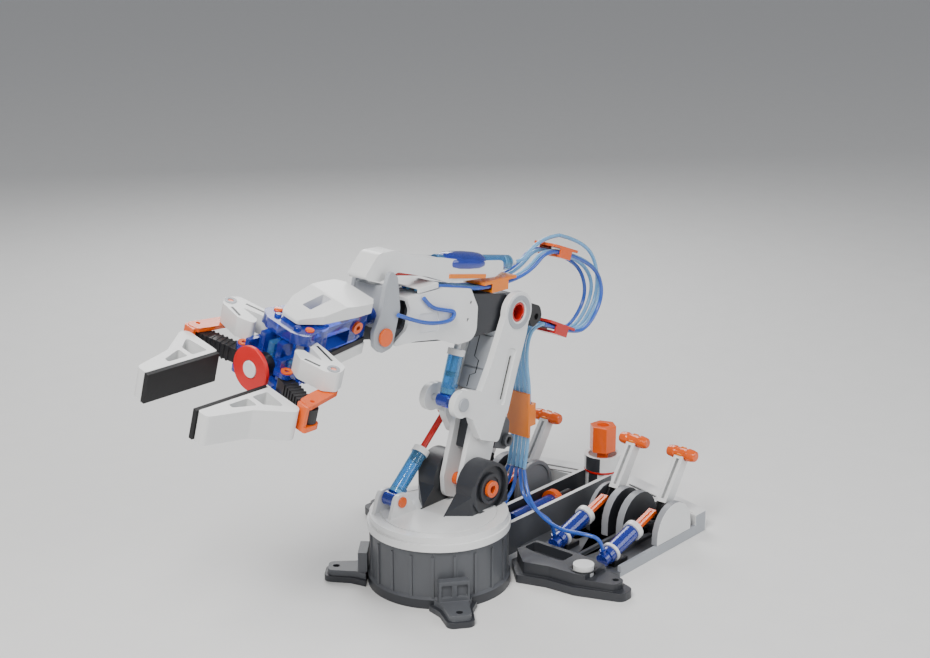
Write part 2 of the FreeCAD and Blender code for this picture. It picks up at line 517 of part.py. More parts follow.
# ---------------------------------------------------------------- wrist
def build_wrist():
    wy, wz = dim("wrist_y"), dim("wrist_z")
    ear = slab("yoke_ear", "YZ_Plane",
               [(wy - 11.5, wz - 5, 6), (wy - 4, wz - 11.5, 6), (wy + 8, wz - 9.5, 6), (wy + 12, wz + 3, 5),
                (wy + 17, wz + 18, 5), (wy + 15, wz + 42, 4), (wy + 8, wz + 49, 3), (wy + 2, wz + 38, 5),
                (wy - 3, wz + 20, 8), (wy - 11.5, wz + 6, 5)],
               "dims.yoke_inner", "dims.yoke_outer - dims.yoke_inner", [(wy, wz, "dims.wrist_pin + 0.1")])
    bridge = box("yoke_bridge", (-dim("yoke_inner"), wy + 2, dim("roll_z") - 3),
        (dim("yoke_inner"), wy + 8, wz + 37))
    bearing = cylinder("yoke_bearing", "9.5", "6", (0, wy + 8, dim("roll_z")), (0, -1, 0))
    bore = cylinder("yoke_bore", "7.05", "40", (0, wy + 20, dim("roll_z")), (0, -1, 0))
    ears = fuse("yoke_sum", ear, mirrored("yoke_ear_mirror", ear), bridge, bearing)
    node("wrist_yoke", cut("yoke_cut", ears, bore))

    # long white lever on top of the yoke, with the cylinder seat in its tail
    lever = slab("lever_slab", "YZ_Plane",
                 [(-91, 268, 3), (-74, 262.6, 3), (-54, 266, 6), (-20, 255.5, 6), (2, 246.5, 5),
                     (58, 240, 3),
                  (68, 243, 3), (68, 251, 3), (40, 256, 4), (-6, 267.5, 6), (-34, 273.5, 8), (-56, 283, 8),
                  (-74, 284, 8)],
                 "-dims.lever_half", "2 * dims.lever_half")
    bed = cylinder("lever_bed", "dims.barrel_radius + 0.4", "120", (0, -8, 263.5), (0, 0.9806, -0.1961))
    neck = box("lever_neck", (-dim("lever_half") - 1, -66, 262), (dim("lever_half") + 1, -58, 266))
    pocket = box("lever_pocket", (-6.4, -60, 240), (6.4, -10, 258))
    node("wrist_lever", cut("lever_cut", lever, bed, neck, pocket))

    start = (0, -4, 263.5 - 0.2 * 4)
    way = (0, 0.9806, -0.1961)
    sleeve = cylinder("tail_sleeve", "dims.barrel_radius", "90", start, way)
    bore_tail = cylinder("tail_bore", "dims.barrel_bore", "82", start, way)
    nipple = cylinder("tail_nipple", "2.4", "10", tuple(Vector(*start) + Vector(*way) * 89), way)
    node("wrist_barrel", cut("tail_cut", fuse("tail_sum", sleeve, nipple), bore_tail))
    rod_start = tuple(Vector(*start) + Vector(*way) * 8)
    node("wrist_rod", cylinder("tail_rod", "dims.piston_radius - 0.2", "46", rod_start, way))

    caps = []
    for side in (1, -1):
        caps.append(cylinder(f"wrist_cap{side}", "dims.bolt_head", "2.2",
            (side * dim("yoke_outer"), wy, wz), (side, 0, 0)))
        caps.append(cylinder(f"wrist_stub{side}", "dims.wrist_pin",
            "dims.yoke_outer - dims.rail_inner - 0.5",
                             (side * dim("yoke_outer"), wy, wz), (-side, 0, 0)))
    node("wrist_pins", group("wrist_pins_group", fuse("wrist_pin_right", *caps[:2]),
        fuse("wrist_pin_left", *caps[2:])))


# ---------------------------------------------------------------- hand
def hand_xy(forward, side):
    """The (x, y) place of a point of the unrolled hand, forward of the wrist and to its right."""
    return (side, dim("wrist_y") - forward)


def hand_outline(points):
    return [hand_xy(*p[:2]) + tuple(p[2:]) for p in points]


def hand_slab(name, points, low, high, holes=()):
    """A flat piece of the hand between two heights above the roll axis."""
    return slab(name, "XY_Plane", hand_outline(points), f"dims.roll_z + {low}", str(high - low),
                [hand_xy(a, b) + (r,) for a, b, r in holes])


def symmetric(half):
    """A left and right symmetric hand outline from its right half, given rear to front."""
    return half + [(p[0], -p[1], *p[2:]) for p in reversed(half)]


def roll_turn():
    axis = Vector(0, 0, dim("roll_z"))
    return Placement(Vector(), Rotation(Vector(0, 1, 0), dim("hand_roll")), axis)


def link_tips():
    """Outer pivots of the finger links: forward and sideways places of the white link's and the black bar's pins."""
    a = math.radians(dim("link_splay"))
    step = (dim("link_length") * math.cos(a), dim("link_length") * math.sin(a))
    return ((dim("link_back") + step[0], dim("link_side") + step[1]),
            (dim("bar_back") + step[0], dim("bar_side") + step[1]))


def build_hand():
    roll = roll_turn()
    # blue frame: rear sleeve block, upper plate, lower plate and the suction post between the plates
    rear = hand_slab("frame_rear", symmetric([(12.6, 11, 2), (26, 14, 3), (66, 16, 3), (66, 15.9)]), -12,
        17)
    links_at = [(dim("link_back"), s * dim("link_side"), "1.6") for s in (1, -1)]
    bars_at = [(dim("bar_back"), s * dim("bar_side"), "1.6") for s in (1, -1)]
    upper = hand_slab("frame_upper", symmetric([(60, 18, 2), (86, 23, 6), (92, 12, 3), (92, 11.9)]), 7, 15,
        links_at)
    middle = hand_slab("frame_middle",
        symmetric([(60, 18, 2), (88, 26, 3), (105, 27, 5), (106, 14, 3), (97, 12, 2),
                                                  (97, 11.9)]), -12.6, -9, links_at + bars_at)
    lower = hand_slab("frame_lower",
        symmetric([(64, 12, 2), (90, 20, 3), (108, 29, 6), (108, 14, 3), (98, 12, 2),
                                                (98, 11.9)]), -29, -25.4, bars_at)
    post = hand_slab("frame_post", symmetric([(64, 8, 1), (92, 8, 1), (92, 7.9)]), -26, -9)
    sleeve = cylinder("frame_sleeve", "7", "30", (0, dim("wrist_y") + 6, dim("roll_z")), (0, -1, 0))
    bore = cylinder("frame_bore", "dims.barrel_radius + 0.05", "80",
        (0, dim("wrist_y") + 20, dim("roll_z")), (0, -1, 0))
    window = box("frame_window", (-30, dim("wrist_y") - 58, dim("roll_z") - 7),
        (30, dim("wrist_y") - 34, dim("roll_z") + 4))
    frame = cut("hand_frame_cut", fuse("hand_frame_sum", rear, upper, middle, lower, post, sleeve), bore,
        window)
    node("hand_frame", frame, roll)

    shield = slab("shield_slab", "YZ_Plane",
                  [(dim("wrist_y") - 12.6, dim("roll_z") + 17),
                      (dim("wrist_y") - 12.6, dim("roll_z") + 24, 3),
                   (dim("wrist_y") - 46, dim("roll_z") + 27, 8),
                       (dim("wrist_y") - 83, dim("roll_z") + 20.5, 3),
                   (dim("wrist_y") - 83, dim("roll_z") + 17)], "-22", "44")
    plan = hand_slab("shield_plan",
        symmetric([(12.6, 12, 2), (21, 20, 4), (36, 20, 4), (66, 16.5, 4), (83, 8, 3),
                                               (83, 7.9)]), 15, 32)
    slot = hand_slab("shield_slot", symmetric([(48, 4.2, 1), (68, 4.2, 1), (68, 4.1)]), 14, 40)
    common = doc.addObject("Part::Common", "shield_common")
    common.Base, common.Tool = shield, plan
    node("hand_cover", cut("shield_cut", common, slot), roll)

    # rails along both lower sides
    rail = hand_slab("side_rail_slab", [(12.6, 9.5, 1), (12.6, 13, 1), (64, 19.2, 1), (64, 15, 1)], -22,
        -12.8)
    node("hand_rails", group("side_rails", rail, mirrored("side_rail_mirror", rail)), roll)

    barrel = cut("grip_cut", cylinder("grip_outer", "dims.barrel_radius", "60",
                                      (0, dim("wrist_y") + 16, dim("roll_z")), (0, -1, 0)),
                 cylinder("grip_inner", "dims.barrel_bore", "60",
                          (0, dim("wrist_y") + 12, dim("roll_z")), (0, -1, 0)))
    node("grip_barrel", barrel, roll)
    rod = cylinder("grip_rod_core", "dims.piston_radius - 0.2", "16",
        (0, dim("wrist_y") - 2, dim("roll_z")), (0, -1, 0))
    node("grip_rod", rod, roll)

    # suction cup on its black holder, below the middle plate
    at = (0, dim("wrist_y") - dim("disc_front"), dim("roll_z") + dim("disc_drop"))
    holder = cylinder("suction_holder", "9", "9.8", (at[0], at[1] + 12.8, at[2]), (0, -1, 0))
    neck = cylinder("suction_neck", "5.5", "3", (at[0], at[1] + 3, at[2]), (0, -1, 0))
    cup = cut("suction_cup_cut", cylinder("suction_plate", "dims.disc_radius", "3.4", at, (0, -1, 0)),
              cylinder("suction_hole", "6.4", "6", at, (0, -1, 0)))
    button = cylinder("suction_button_core", "6.2", "4", at, (0, -1, 0))
    mount = fuse("suction_holder_sum", holder, neck)
    node("suction_cup", group("suction_cup_group", mount, cup, button), roll)

    # finger links, bars, fingers and pads, right side first, mirrored to the left
    (tip_s, tip_d), (bar_s, bar_d) = link_tips()
    back, side = dim("link_back"), dim("link_side")
    link = hand_slab("link_slab",
        [(back - 6, side - 5, 4), (back - 4, side + 14, 5), (tip_s - 10, tip_d + 2, 4),
                                   (tip_s, tip_d + 6, 4), (tip_s + 7.5, tip_d, 4),
                                       (back + 22, side + 16, 4),
                                   (back + 17, side + 3, 3), (back + 11, side + 8, 1.5),
                                       (tip_s - 1, tip_d - 11, 0.6),
                                   (back + 4, side + 9, 1.5), (back + 8, side - 5, 3)],
                     -8.6, 6.6, [(back, side, "1.7"), (tip_s, tip_d, "2.1")])
    bar = hand_slab("bar_slab", bar_points(dim("bar_back"), dim("bar_side"), bar_s, bar_d, 5.0),
                    -24.6, -13.4, [(dim("bar_back"), dim("bar_side"), "1.7"), (bar_s, bar_d, "2.1")])
    gap = dim("pad_gap") + 3.6
    finger_slab = hand_slab("finger_slab",
        [(bar_s + 9, gap, 2), (183, gap, 2), (183, gap + 9, 4), (150, gap + 17, 8),
                                            (bar_s + 9.2, bar_d + 5, 5), (bar_s + 9.2, bar_d - 6, 1)], -35,
                                                -12.6)
    ribs = [hand_slab(f"finger_hole{i}", corners, -34, -10) for i, corners in enumerate((
        [(bar_s + 15, gap + 4, 1.5), (139, gap + 4, 1.5), (139, gap + 15, 1.5), (bar_s + 17, gap + 24, 2)],
        [(143, gap + 4, 1.5), (160, gap + 4, 1.5), (160, gap + 8, 1.5), (143, gap + 14, 1.5)]))]
    heel = hand_slab("heel_slab",
        [(tip_s - 5, tip_d + 5, 4), (tip_s - 5, tip_d - 5, 4), (bar_s - 8, bar_d - 9, 3),
                                   (bar_s + 6, bar_d - 6, 3), (bar_s + 8, bar_d + 5, 3)], -12.4, -9.2,
                     [(tip_s, tip_d, "1.6"), (bar_s, bar_d, "1.6")])
    heel_low = hand_slab("heel_low_slab",
        [(bar_s - 6, bar_d + 6, 4), (bar_s - 6, bar_d - 6, 4), (bar_s + 8.8, bar_d - 6, 2),
                                           (bar_s + 8.8, bar_d + 6, 2)], -29, -25.2,
                                               [(bar_s, bar_d, "1.6")])
    heel_wall = hand_slab("heel_wall_slab", [(bar_s + 5.6, bar_d + 4.4, 1), (bar_s + 5.6, bar_d - 5.2, 1),
                                             (bar_s + 9, bar_d - 5.2, 1), (bar_s + 9, bar_d + 4.4, 1)],
                                                 -28.6, -9.6)
    finger = cut("finger_cut", finger_slab, *ribs)
    pins = [cylinder(f"finger_pin{i}", "2", str(top - low), hand_xy(a, b) + (dim("roll_z") + low,))
            for i, (a, b, low, top) in enumerate(((tip_s, tip_d, -10.8, 6.6), (bar_s, bar_d, -26.6, -11)))]
    heel_whole = fuse("heel_sum", heel, heel_low, heel_wall, *pins)
    pad = hand_slab("pad_slab",
        [(bar_s + 10, dim("pad_gap"), 0.6), (184, dim("pad_gap"), 0.6), (184, gap - 0.05, 0.2),
                                 (bar_s + 10, gap - 0.05, 0.2)], -35, -12.6)
    for name, right in (("finger_link", link), ("finger_bar", bar),
        ("finger", group("finger_group", finger, heel_whole)),
                        ("finger_pad", pad)):
        node(name + "_left", mirrored(name + "_mirror", right), roll)
        node(name + "_right", copy_of(name + "_own", right), roll)


def copy_of(name, source):
    """The piece itself as a feature of its own, so that it can carry the hand's roll."""
    made = doc.addObject("Part::Compound", name)
    made.Links = [source]
    return made


def bar_points(s0, d0, s1, d1, half):
    """A round-ended bar between two hand points."""
    way = Vector(s1 - s0, d1 - d0, 0).normalize()
    side = Vector(-way.y, way.x, 0)
    a, b = Vector(s0, d0, 0) - way * half, Vector(s1, d1, 0) + way * half
    corners = (a - side * half, a + side * half, b + side * half, b - side * half)
    return [(p.x, p.y, half * 0.9) for p in corners]


# ---------------------------------------------------------------- console
GUARDS = ((37.5, 41.5), (53.0, 60.0), (68.0, 75.0), (104.0, 110.0))


def wing_outline(inner, corner_front):
    """Plan of one wing's deck, right side."""
    side = dim("wing_side")
    slope = (dim("deck_apex") - dim("deck_corner")) / side
    return [(inner, corner_front), (side, corner_front + 8, 3), (side, dim("deck_corner"), 3),
            (inner, dim("deck_apex") - slope * inner)]


def build_console():
    side, spine = dim("wing_side"), dim("spine_half")
    slope = (dim("deck_apex") - dim("deck_corner")) / side
    floor = slab("deck_floor", "XY_Plane", wing_outline(spine, dim("deck_front")), "0", "dims.deck_floor")
    back_band = [(spine, 214), (side, 205), (side, dim("deck_corner"), 3),
        (spine, dim("deck_apex") - slope * spine)]
    back = slab("deck_back", "XY_Plane", back_band, "0", "dims.deck_height")
    slits = [slab(f"deck_slit{i}", "XY_Plane",
                  [(24 + 44 * i, 227 - 11 * i), (60 + 44 * i, 218 - 11 * i), (60 + 44 * i, 220.5 - 11 * i),
                   (24 + 44 * i, 229.5 - 11 * i)], "dims.deck_height - 1.5", "4") for i in range(2)]
    edge = box("deck_edge", (side - 3.5, dim("deck_front") + 12, 0), (side, 210, 9))
    ribs = [box(f"deck_rib{i}", (x, dim("deck_front") + 8, 2), (x + 3, 206, 7)) for i,
        x in enumerate((31, 64.5, 86))]
    right = cut("deck_cut", fuse("deck_sum", floor, back, edge, *ribs), *slits)
    node("console_decks", group("decks_group", right, mirrored("deck_mirror", right)))

    # half-round guards on each side of the levers, standing on the deck
    guards = []
    for i, (low, high) in enumerate(GUARDS):
        radius, y, z = dim("guard_radius"), dim("guard_y"), dim("guard_z")
        base = dim("deck_floor") if high < side else 9.0
        disc = slab(f"guard{i}", "YZ_Plane",
                    [(y - radius, base)] + arc_points((y, z), radius, 180, 0, 13) + [(y + radius, base)],
                    str(low), str(high - low))
        under = box(f"guard_under{i}", (low - 1, y - radius - 5, z - radius - 9),
            (high + 1, y + radius + 5, base))
        piece = cut(f"guard_trim{i}", disc, under)
        hollow = cylinder(f"guard_hollow{i}", str(radius - 4), "1.6", (low - 0.2, y, z), (1, 0, 0))
        guards.append(cut(f"guard_cut{i}", piece, hollow))
    right = fuse("guards_sum", *guards)
    node("lever_guards", group("guards_group", right, mirrored("guards_mirror", right)))

    # dark front beam of each wing, with its foot, screw hole and knob seat
    outline = [(52.5, 33, 3), (76, 41, 8), (102, 43.5, 12), (139, 58, 7), (139, 72, 7), (116, 79, 6),
        (84, 83, 6),
               (34, 83.5, 2), (31, 54, 2)]
    inner = [(50, 60, 3), (78, 60, 4), (78, 76, 3), (38, 76, 3), (38, 62, 3)]
    beam = slab("beam_slab", "XY_Plane", outline, "0", "7", [(126, 66, "2.6")])
    upper = slab("beam_upper", "XY_Plane",
                 [(55, 38.5, 3), (76, 45, 8), (100, 47, 12), (132, 58, 6), (132, 70, 6), (112, 76, 6),
                     (84, 80, 5),
                  (37, 80, 2), (35, 56, 2)], "7", "10", [(126, 66, "2.6")])
    well = cylinder("beam_well", "9.6", "20", (99, 60, 12))
    pocket = slab("beam_pocket", "XY_Plane", inner, "9", "20")
    clear = cylinder("beam_drum_clear", "dims.skirt_radius + 0.3", "60", (0, 0, -1))
    trim = box("beam_trim", (108, 40, 13), (150, 90, 30))
    right = cut("beam_cut", fuse("beam_sum", beam, upper), well, pocket, clear, trim)
    cap = cylinder("beam_cap", "8.4", "9", (99, 60, 12))
    node("beam_right", group("beam_right_group", right, cap))
    node("beam_left", group("beam_left_group", mirrored("beam_mirror", right),
        mirrored("beam_cap_mirror", cap)))

    # spine: a channel between the wings that joins the drum to the knob's pedestal
    walls = [box(f"spine_wall{s}", (low, 60, 0), (high, 214, 28)) for s, (low, high) in
             enumerate(((-spine, -spine + 4), (spine - 4, spine)))]
    bed = box("spine_bed", (-spine, 58, 0), (spine, 248, 10))
    pedestal = cylinder("spine_pedestal", "dims.spine_half - 0.2", "20", (0, dim("knob_y"), 10))
    spine_clear = cylinder("spine_drum_clear", "dims.skirt_radius + 0.3", "60", (0, 0, -1))
    spine_body = cut("spine_cut", fuse("spine_sum", bed, *walls, pedestal), spine_clear,
                     cylinder("spine_well", "5.05", "30", (0, dim("knob_y"), 14)))
    collar = cut("collar_cut", cylinder("collar_outer", "16", "13", (0, dim("knob_y"), 30)),
                 cylinder("collar_inner", "12.6", "11", (0, dim("knob_y"), 33)),
                 cylinder("collar_bore", "5.05", "40", (0, dim("knob_y"), 20)))
    node("console_spine", group("console_spine_group", spine_body, collar))
    flats = dim("knob_flats") / 2 / math.cos(math.pi / 6)
    hexagon = [(flats * math.cos(math.radians(60 * i + 20)),
        dim("knob_y") + flats * math.sin(math.radians(60 * i + 20)), 1.2)
               for i in range(6)]
    head = slab("knob_hex", "XY_Plane", hexagon, "dims.knob_bottom", "dims.knob_top - dims.knob_bottom")
    stem = cylinder("knob_stem", "5", "dims.knob_bottom - 16", (0, dim("knob_y"), 16))
    dimple = cylinder("knob_dimple", "5", "8", (0, dim("knob_y"), dim("knob_top") - 6))
    node("selector_knob", cut("knob_cut", fuse("knob_sum", head, stem), dimple))

    # master cylinder in the spine channel and its orange clip
    spine_barrel = cut("spine_barrel_cut",
        cylinder("spine_barrel_outer", "dims.barrel_radius + 0.6", "64", (0, 92, 20), (0, 1, 0)),
                       cylinder("spine_barrel_inner", "dims.barrel_bore", "62", (0, 96, 20), (0, 1, 0)))
    node("swing_rod", cylinder("spine_rod", "dims.piston_radius - 0.2", "34", (0, 138, 20), (0, 1, 0)))
    clip = tube("spine_clip_ring", "10", "dims.barrel_radius + 0.6", "6", (0, 146, 20), (0, 1, 0))
    node("swing_barrel", group("swing_group", spine_barrel, clip))

    build_levers()


def build_levers():
    py, pz = dim("lever_pivot_y"), dim("lever_pivot_z")
    foot = (dim("pump_foot_y"), dim("pump_foot_z"))
    head = (dim("pump_head_y"), dim("pump_head_z"))
    barrels, fittings, cradles = [], [], []
    for name, x in (("1", -dim("lever_outer_x")), ("2", -dim("lever_inner_x")),
                    ("3", dim("lever_inner_x")), ("4", dim("lever_outer_x"))):
        way = toward((x, *foot), (x, *head))
        shell = cylinder(f"pump_shell{name}", "dims.pump_barrel", "38", (x, *foot), way)
        collar = cylinder(f"pump_collar{name}", "dims.pump_barrel + 1.6", "5",
            along((x, *foot), (x, *head), 36), way)
        bore = cylinder(f"pump_bore{name}", "dims.barrel_bore", "50", along((x, *foot), (x, *head), 3), way)
        barrels.append(cut(f"pump_cut{name}", fuse(f"pump_sum{name}", shell, collar), bore))
        end = cylinder(f"pump_end{name}", "5.6", "6", along((x, *foot), (x, *head), -6), way)
        port = cylinder(f"pump_port{name}", "2.6", "9", along((x, *foot), (x, *head), -3), (0, -0.28, 0.96))
        fittings.append(fuse(f"pump_fitting{name}", end, port))
        cradle = box(f"pump_cradle{name}", (x - 5, 100, dim("deck_floor")), (x + 5, 118, 8.2))
        cradles.append(cradle)
        rod_from = along((x, *foot), (x, *head), 24)
        piston = cylinder(f"pump_piston{name}", "dims.piston_radius", "6", rod_from, way)
        rod = cylinder(f"pump_rod{name}", "dims.rod_radius", "46", rod_from, way)
        node(f"plunger_{name}", fuse(f"plunger_sum{name}", piston, rod))
        # rocking lever: dark hub and blade, with the white stem and the orange cross grip above it
        hub = cylinder(f"lever_hub{name}", "6.5", "9", (x - 4.5, py, pz), (1, 0, 0))
        hub_bore = cylinder(f"lever_bore{name}", "2.55", "12", (x - 6, py, pz), (1, 0, 0))
        blades = [slab(f"lever_blade{name}{i}", "YZ_Plane",
                       [(py - 5, pz + 2), (py + 5, pz - 2), (182.5, 32, 2), (172, 38.5, 2)], str(x + low),
                           "1.6")
                  for i, low in enumerate((-4.2, 2.6))]
        stem = slab(f"lever_stem{name}", "YZ_Plane",
                    [(171.5, 37.5), (181, 31.5), (dim("lever_top_y") + 3, dim("lever_top_z") - 5),
                     (dim("lever_top_y") - 5, dim("lever_top_z"))], str(x - 4.5), "9")
        groove = slab(f"lever_groove{name}", "YZ_Plane",
                      [(170, 43), (178, 37), (dim("lever_top_y") + 1, dim("lever_top_z") - 8),
                       (dim("lever_top_y") - 9, dim("lever_top_z") - 1)], str(x - 1.4), "2.8")
        lever = cut(f"lever_cut{name}", fuse(f"lever_sum{name}", hub, *blades, stem), hub_bore, groove)
        grip = cylinder(f"lever_grip{name}", "5.4", "24", (x - 12, dim("lever_top_y"), dim("lever_top_z")),
            (1, 0, 0))
        sides = [cylinder(f"lever_grip_end{name}{i}", "4.6", "2",
            (x + low, dim("lever_top_y"), dim("lever_top_z")), (1, 0, 0))
                 for i, low in enumerate((-14, 12))]
        handle = fuse(f"grip_sum{name}", grip, *sides)
        node(f"lever_{name}", group(f"lever_group{name}",
            cut(f"lever_notch{name}", lever, grip_tool(name, x)), handle))
    node("pump_barrels", group("pump_barrels_group", *barrels, *fittings))
    gaps = [(GUARDS[0][1], GUARDS[1][0]), (GUARDS[2][1], GUARDS[3][0])]
    pins = [cylinder(f"lever_pin{i}", "2.5", str(high - low), (low, py, pz), (1, 0, 0))
            for i, (low, high) in enumerate(gaps + [(-b, -a) for a, b in gaps])]
    node("lever_pins", group("lever_pins_group", *pins, *cradles))


def grip_tool(name, x):
    return cylinder(f"grip_tool{name}", "5.4", "30", (x - 15, dim("lever_top_y"), dim("lever_top_z")),
        (1, 0, 0))


# ---------------------------------------------------------------- hoses
HOSE_REPORT = []


def hose(points, radius):
    """A tube of straight runs joined by tangent arcs, each arc as large as its two runs allow."""
    corners = [Vector(*p) for p in points]
    edges, last, expected = [], corners[0], 0.0
    for here, before, after in zip(corners[1:-1], corners, corners[2:]):
        back, ahead = (before - here), (after - here)
        short = min(back.Length, ahead.Length)
        back.normalize()
        ahead.normalize()
        turn = math.pi - back.getAngle(ahead)
        reach = 0.45 * short
        bend = reach / math.tan(turn / 2)
        start, end = here + back * reach, here + ahead * reach
        half = (math.pi - turn) / 2
        middle = here + (back + ahead).normalize() * (bend / math.sin(half) - bend)
        edges += [Part.LineSegment(last, start).toShape(), Part.Arc(start, middle, end).toShape()]
        expected += last.distanceToPoint(start) + bend * turn
        last = end
        HOSE_REPORT.append(bend)
    edges.append(Part.LineSegment(last, corners[-1]).toShape())
    expected += last.distanceToPoint(corners[-1])
    path = Part.Wire(edges)
    circle = Part.Circle(corners[0], corners[1] - corners[0], radius)
    solid = path.makePipeShell([Part.Wire([circle.toShape()])], True, False)
    section = math.pi * radius ** 2
    if abs(solid.Volume - section * expected) > 0.01 * section * expected:
        raise ValueError("a hose does not have the volume of its route")
    return solid


def hose_node(name, routes):
    made = doc.addObject("Part::Feature", name + "_tubes")
    made.Shape = Part.Compound([hose(route, dim("hose_radius")) for route in routes])
    node(name, made)


def build_hoses():
    pitch = dim("hose_pitch")
    across = [i * pitch for i in (-2, -1, 1, 2)]
    # the loop over the elbow, from the forearm's guide out and back to the comb behind the elbow
    loop = [[(x, -30, 247.3), (x, -8, 246.8), (x, 14, 240), (x, 42, 233.2), (x, 82, 231.9), (x, 106, 236),
             (x, 127, 249.3), (x, 167 + s, 233.5), (x, 194 + s, 217), (x, 203 + s, 192 + s),
             (x, 186 + s, 172), (x, 164, 167.6), (x, 122.9, 186.4)]
            for x, s in zip(across, (0, 4, 6, 2))]
    loop.append([(0, 152, 254.6), (0, 178, 246), (0, 203, 227), (0, 209, 196), (0, 190, 171),
        (0, 164, 167.6),
                 (0, 122.9, 186.4)])
    hose_node("hose_loop", loop)
    hose_node("hose_wrist", [[(0, 93.3, 243.3), (0, 104, 242.5), (0, 116, 251), (0, 134, 256),
        (0, 151, 254.7)]])
    # down the back of the upper arm, through the lower comb
    hose_node("hose_arm", [[(x, 122, 186.8), (x, 109, 188), (x, 100.5, 176), (x, 100, 156), (x, 104.3, 135),
                            (x, 104, 91), (x, 98.4, 67)] for x in sorted(across + [0])])
    # fanned out over the console to the master cylinders
    console = [[(0, 98, 66), (0, 97, 50), (0, 84, 40), (0, 78, 27), (0, 83, 20), (0, 92, 20)]]
    for side in (1, -1):
        x, near, far = side, dim("lever_inner_x"), dim("lever_outer_x")
        console.append([(x * pitch, 98, 66), (x * 6, 96, 50), (x * 18, 92, 40), (x * 34, 87, 37),
                        (x * near, 87, 33), (x * near, 89.6, 22.2)])
        console.append([(x * 2 * pitch, 98, 66), (x * 14, 94, 49), (x * 34, 84, 38), (x * 62, 78, 33),
                        (x * 84, 81, 35), (x * far, 87, 32), (x * far, 89.6, 22.2)])
    hose_node("hose_console", console)
    # the slack loop that feeds the gripper, along the forearm's right side
    hose_node("hose_gripper", [[(19.4, -66, 238), (19.4, -50, 230.5), (18, -30, 223.2), (16, -10, 219.3),
                                (15.6, 0, 219.8), (15.4, 2, 225.4), (15.2, -8, 228.2), (15.2, -26, 234),
                                (15.2, -33, 243)]])


def main():
    build_base()
    build_shoulder()
    build_cylinders()
    build_arm()
    build_forearm()
    build_wrist()
    build_hand()
    build_console()
    build_hoses()
    doc.recompute()
    failed = [f.Label for f in doc.Objects if {"Invalid", "Error"} & set(f.State)]
    if failed:
        raise RuntimeError("these did not recompute: " + ", ".join(failed))
    for name, feature in NODES.items():
        if feature.Shape.isNull() or not feature.Shape.isValid() or not feature.Shape.Solids:
            raise RuntimeError(f"{name} has no valid solid")
    os.makedirs("parts", exist_ok=True)
    for name, feature in NODES.items():
        feature.Shape.exportStep(f"parts/{name}.step")
        print(f"{name}: {len(feature.Shape.Solids)} solids, {feature.Shape.Volume / 1000:.2f} cm3")
    print("nodes:", len(NODES), "tightest hose bend:", round(min(HOSE_REPORT), 1))


main()
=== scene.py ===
import json
import math
import bmesh
import bpy
from mathutils import Matrix, Vector


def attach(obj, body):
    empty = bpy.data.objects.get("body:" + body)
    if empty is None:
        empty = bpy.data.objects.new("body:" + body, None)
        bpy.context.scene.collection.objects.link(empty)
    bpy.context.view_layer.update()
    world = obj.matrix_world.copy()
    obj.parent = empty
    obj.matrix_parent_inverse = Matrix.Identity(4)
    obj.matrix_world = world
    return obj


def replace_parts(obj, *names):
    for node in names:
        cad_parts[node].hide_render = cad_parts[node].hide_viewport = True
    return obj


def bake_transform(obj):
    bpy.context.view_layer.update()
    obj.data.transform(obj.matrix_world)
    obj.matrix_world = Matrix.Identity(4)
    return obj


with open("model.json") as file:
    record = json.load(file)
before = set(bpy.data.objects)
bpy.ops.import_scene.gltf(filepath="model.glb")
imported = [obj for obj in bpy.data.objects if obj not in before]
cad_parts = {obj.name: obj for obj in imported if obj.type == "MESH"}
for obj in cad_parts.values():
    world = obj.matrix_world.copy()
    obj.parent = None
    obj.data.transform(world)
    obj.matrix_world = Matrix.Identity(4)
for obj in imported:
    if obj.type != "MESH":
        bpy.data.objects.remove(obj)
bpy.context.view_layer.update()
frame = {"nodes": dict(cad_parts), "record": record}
MM = 0.001
ELBOW = (77.0, 208.5)
SHOULDER = (28.6, 75.8)
WRIST_Y, WRIST_Z = -78.0, 237.0
LEVER_X = {"1": -96, "2": -47, "3": 47, "4": 96}
PUMP_SIN, PUMP_COS = 0.283, 0.959
BODY_OF = {n: b for b, ns in frame["record"]["behaviour"]["bodies"].items() for n in ns}


